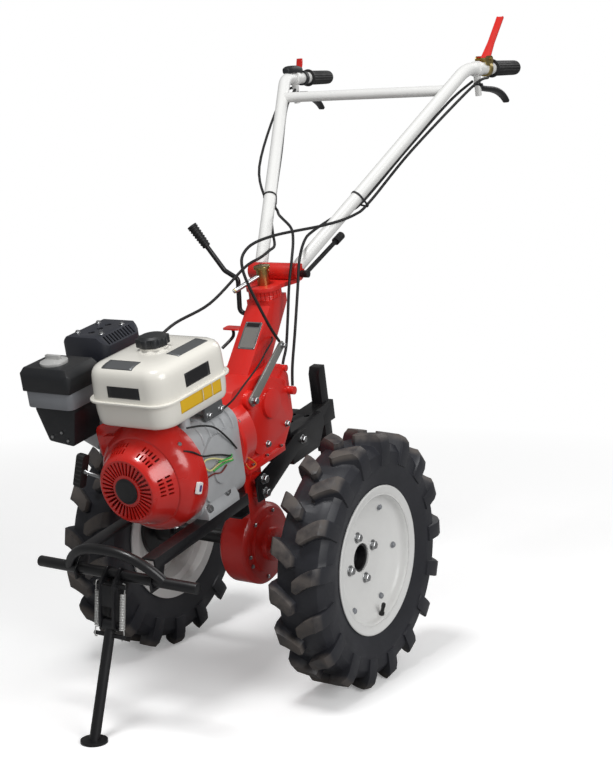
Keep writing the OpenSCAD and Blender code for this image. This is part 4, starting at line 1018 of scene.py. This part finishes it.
# pull grip of the recoil starter, at rest against its stub
starterLook = {"foot": (395, -80, 320), "grip": (395, -146, 333), "size": (22, 76, 20), "sink": 10,
               "corner": (7, 6), "ribs": range(-3, 4), "ribGap": 9.5, "ribSize": (24, 4, 18.4),
               "ribCorner": (1.5, 3), "ribSink": 9.2,
               "stub": [(7, 0), (7, 9), (5, 12), (4, 16), (4, 50), (5.5, 52), (5.5, 60)]}
starterFoot, starterGrip = at(*starterLook["foot"]), at(*starterLook["grip"])
starterWay = (starterGrip - starterFoot).normalized()
starterUp = Vector((1, 0, 0)).cross(starterWay).normalized()
starterSide = starterUp.cross(starterWay).normalized()
bm = bmesh.new()
addTurned(bm, starterFoot, starterWay, starterLook["stub"], 20)
placePiece("starter_stub", bm, "chassis", "bareSteel", 40)
bm = bmesh.new()
back = starterGrip - starterWay * starterLook["sink"] / 1000
addPlate(bm, back, starterSide, starterUp, starterLook["size"], *starterLook["corner"])
for k in starterLook["ribs"]:
    rib = starterGrip + (starterUp * starterLook["ribGap"] * k - starterWay * starterLook["ribSink"]) / 1000
    addPlate(bm, rib, starterSide, starterUp, starterLook["ribSize"], *starterLook["ribCorner"])
placePiece("starter_grip", bm, "chassis", "blackRubber", 35)
print("engine fittings made")

# straps that hold the control cables to the handle tubes: side, share of the tube, cables
strapLook = {"tube": 16.4, "cable": 4, "thick": 1.4, "width": 5, "steps": 40,
             "places": [(1, 0.36, ("left_turn_cable", "clutch_cable")), (-1, 0.36, ("right_turn_cable",))]}


def crossing(route, origin, way):
    for p, q in zip(route, route[1:]):
        a, b = (p - origin).dot(way), (q - origin).dot(way)
        if a * b <= 0 and a != b:
            return p + (q - p) * (a / (a - b))
    return None


def wrapRound(circles, grow):
    # convex outline round the circles, turned one way
    steps = strapLook["steps"]
    points = []
    for cx, cy, radius in circles:
        turns = [polar(radius + grow, 360 * k / steps) for k in range(steps)]
        points += [(cx + dx, cy + dy) for dx, dy in turns]
    points.sort()
    outline = []
    for run in (points, points[::-1]):
        chain = []
        for p in run:
            while len(chain) > 1:
                a, b = chain[-2:]
                if (b[0] - a[0]) * (p[1] - a[1]) - (b[1] - a[1]) * (p[0] - a[0]) > 0:
                    break
                chain.pop()
            chain.append(p)
        outline += chain[:-1]
    return outline


bm = bmesh.new()
for side, share, names in strapLook["places"]:
    base, bend = mirrored(tubeLook["base"], side), mirrored(gripLook["bend"], side)
    way = (bend - base).normalized()
    origin = base + (bend - base) * share
    first, second = squareTo(way)
    circles = [(0, 0, strapLook["tube"])]
    for name in names:
        route = smoothRoute([Vector(p) for p in cableRoutes[name]], cableLook["steps"])
        hit = crossing(route, origin, way) - origin
        circles.append((hit.dot(first), hit.dot(second), strapLook["cable"]))
    inner, outer = wrapRound(circles, 0), wrapRound(circles, strapLook["thick"])
    count = min(len(inner), len(outer))
    rings = []
    for k in range(count):
        corners = []
        for loop, along in ((inner, -1), (outer, -1), (outer, 1), (inner, 1)):
            px, py = loop[k * len(loop) // count]
            corners.append(at(*(origin + first * px + second * py + way * along * strapLook["width"] / 2)))
        rings.append(corners)
    addRings(bm, rings, closed=True)
placePiece("cable_straps", bm, "handlebar", "blackRubber", 40)
print("cables strapped")

# blank plate with rivets on the column's front face, with a plain dark strip and field:
# finish, slot, shift up the slope, lift, size and corner
plateLook = {"foot": (-20, 422), "top": (-149, 553), "share": 0.56, "side": 4, "rivets": (21, 33),
             "rivet": [(2.4, 0), (2.4, 1.4), (1.6, 2.1), (0.6, 2.3)],
             "layers": {"column_plate": ("bareSteel", "bare_steel", 0, 0, (48, 72, 0.9), 3),
                        "column_plate_strip": ("blackPaint", "black_paint", 28, 0.8, (36, 10, 0.5), 1),
                        "column_plate_field": ("dullSteel", "black_paint", -6, 0.8, (40, 52, 0.4), 1)}}
foot, top = Vector(plateLook["foot"]), Vector(plateLook["top"])
slope = (top - foot).normalized()
middle = foot + (top - foot) * plateLook["share"]
plateUp = heading(slope.x, 0, slope.y)
plateOut = leftWay.cross(plateUp)
for pieceName, (finish, slot, shift, lift, size, corner) in plateLook["layers"].items():
    spot = middle + slope * shift
    back = at(spot.x, plateLook["side"], spot.y) + plateOut * lift / 1000
    bm = bmesh.new()
    addPlate(bm, back, leftWay, plateUp, size, corner)
    placePiece(pieceName, bm, "chassis", finish)
bm = bmesh.new()
rivetSide, rivetUp = plateLook["rivets"]
for sx in (1, -1):
    for sy in (1, -1):
        rivet = at(middle.x, plateLook["side"] + rivetSide * sx, middle.y) + plateUp * rivetUp * sy / 1000
        addTurned(bm, rivet, plateOut, plateLook["rivet"], 16)
placePiece("column_plate_rivets", bm, "chassis", "bareSteel")

# wires and leads on the engine's left side: finish, radius and runs
wireSets = {
    "orange_wire": ("orangeWire", 2.0, [
        [(118, 96, 268), (112, 90, 272), (95, 88, 266), (68, 86, 240), (93, 87, 238), (110, 90, 255),
         (120, 98, 262)]]),
    "green_wires": ("greenWire", 1.9, [
        [(176, 100, 300), (191, 116, 303), (217, 118, 309), (244, 121, 311), (270, 120, 309)],
        [(170, 98, 309), (196, 117, 313), (222, 119, 317), (246, 119, 320)]]),
    "pale_wires": ("paleWire", 2.0, [
        [(172, 98, 306), (194, 114, 306), (230, 116, 320), (261, 118, 335), (289, 118, 342),
         (297, 118, 336), (290, 117, 322), (274, 115.5, 311), (251, 115, 313), (224, 115, 314),
         (195, 113, 302), (172, 98, 298)]]),
    "brown_wires": ("brownWire", 1.9, [
        [(214, 114, 300), (238, 115.5, 293), (267, 115, 300), (296, 110, 296)]]),
    "black_leads": ("blackRubber", 2.2, [
        [(314, 100, 424), (280, 116, 418), (236, 116, 396), (190, 112, 352), (156, 104, 316)],
        [(340, 103, 382), (322, 113, 373), (296, 117, 354), (262, 117, 343), (228, 115, 330), (190, 112, 312),
         (168, 96, 302)],
        [(-140, 32, 478), (-120, 46, 477), (-67, 60, 466), (-8, 75, 452), (69, 85, 434), (127, 91, 419),
         (173, 91, 412)]]),
}
wireRun = {"steps": 6, "sides": 8}
for wireName, (finish, radius, runs) in wireSets.items():
    bm = bmesh.new()
    for run in runs:
        addTube(bm, levelRoute(run, wireRun["steps"]), radius, wireRun["sides"])
    placePiece(wireName, bm, "chassis", finish, 60)
plugLook = {"place": (338, 124.6, 299), "out": (0, 0.99, -0.1), "up": (-0.35, 0.1, 0.93), "corner": 2.5,
            "parts": {"wire_plug": ("whiteTube", (16, 26, 7)), "wire_plug_core": ("plugCore", (8, 15, 8))}}
plugOut = heading(*plugLook["out"])
plugUp = heading(*plugLook["up"])
plugUp = (plugUp - plugOut * plugUp.dot(plugOut)).normalized()
for pieceName, (finish, size) in plugLook["parts"].items():
    bm = bmesh.new()
    addPlate(bm, at(*plugLook["place"]), plugUp.cross(plugOut), plugUp, size, plugLook["corner"])
    placePiece(pieceName, bm, "chassis", finish, 40)
print("wires laid")

# pale floor that takes the shadow near the machine and fades to white far off
floorLook = {"size": 30, "color": (1, 1, 1, 1), "bounce": (0.36, 0.36, 0.36, 1), "glow": 0.2, "far": 0.25,
             "fade": (1.4, 3.2)}


def makeFloor(look):
    made, tree = startMaterial("paleFloor")
    tree.nodes.remove(tree.nodes["Principled BSDF"])
    seen = addNode(tree, "ShaderNodeLightPath").outputs["Is Camera Ray"]
    shade = mixColors(tree, seen, look["bounce"], look["color"])
    diffuse = addNode(tree, "ShaderNodeBsdfDiffuse", {"Color": shade}).outputs[0]
    level = times(tree, seen, look["glow"])
    glow = addNode(tree, "ShaderNodeEmission", {"Color": look["color"], "Strength": level}).outputs[0]
    lit = addNode(tree, "ShaderNodeAddShader", {0: diffuse, 1: glow}).outputs[0]
    level = rangeNode(tree, seen, 0, 1, (look["far"], 1))
    white = addNode(tree, "ShaderNodeEmission", {"Strength": level}).outputs[0]
    away = vectorNode(tree, "LENGTH", objectCoords(tree))["Value"]
    share = rangeNode(tree, away, *look["fade"])
    fade = addNode(tree, "ShaderNodeMixShader", {0: share, 1: lit, 2: white}).outputs[0]
    feed(tree, fade, tree.nodes["Material Output"].inputs["Surface"])
    made.cycles.emission_sampling = "NONE"  # the lamps keep all the light samples
    half = look["size"] / 2
    corners = [(-half, -half, 0), (half, -half, 0), (half, half, 0), (-half, half, 0)]
    bm = bmesh.new()
    bm.faces.new([bm.verts.new(p) for p in corners])
    floor = linkMesh("floor", bm, made)


makeFloor(floorLook)

# white sky for the camera, a plain level for the light, and a lower one in reflections
skyLook = {"level": 0.3, "mirrored": 0.18}
world = bpy.data.worlds.new("studio")
world.use_nodes = True
scene.world = world
tree = world.node_tree
sky = tree.nodes["Background"].inputs
rays = addNode(tree, "ShaderNodeLightPath").outputs
skyLit = rangeNode(tree, rays["Is Glossy Ray"], 0, 1, (skyLook["level"], skyLook["mirrored"]))
skySeen = mathNode(tree, "MAXIMUM", rays["Is Camera Ray"], rays["Is Transmission Ray"])
feed(tree, mathNode(tree, "MAXIMUM", skyLit, skySeen), sky["Strength"])
sky["Color"].default_value = (1, 1, 1, 1)

lampAim = Vector((0, 0, 0.55))
lampLooks = {
    "keyLamp": {"place": (1.8, 0.1, 4.7), "size": 1.2, "power": 98},
    "sideLamp": {"place": (1.6, 3.6, 2.2), "size": 2.6, "power": 82},
    "backLamp": {"place": (-3.4, 0.8, 3.0), "size": 2.4, "power": 28},
}
for lampName, look in lampLooks.items():
    lamp = bpy.data.objects.new(lampName, bpy.data.lights.new(lampName, "AREA"))
    scene.collection.objects.link(lamp)
    lamp.data.shape = "DISK"
    lamp.data.size = look["size"]
    lamp.data.energy = look["power"]
    lamp.location = look["place"]
    lamp.rotation_mode = "QUATERNION"
    lamp.rotation_quaternion = (lampAim - lamp.location).to_track_quat("-Z", "Y")
scene.view_settings.view_transform = "Standard"
print("floor and lamps placed")
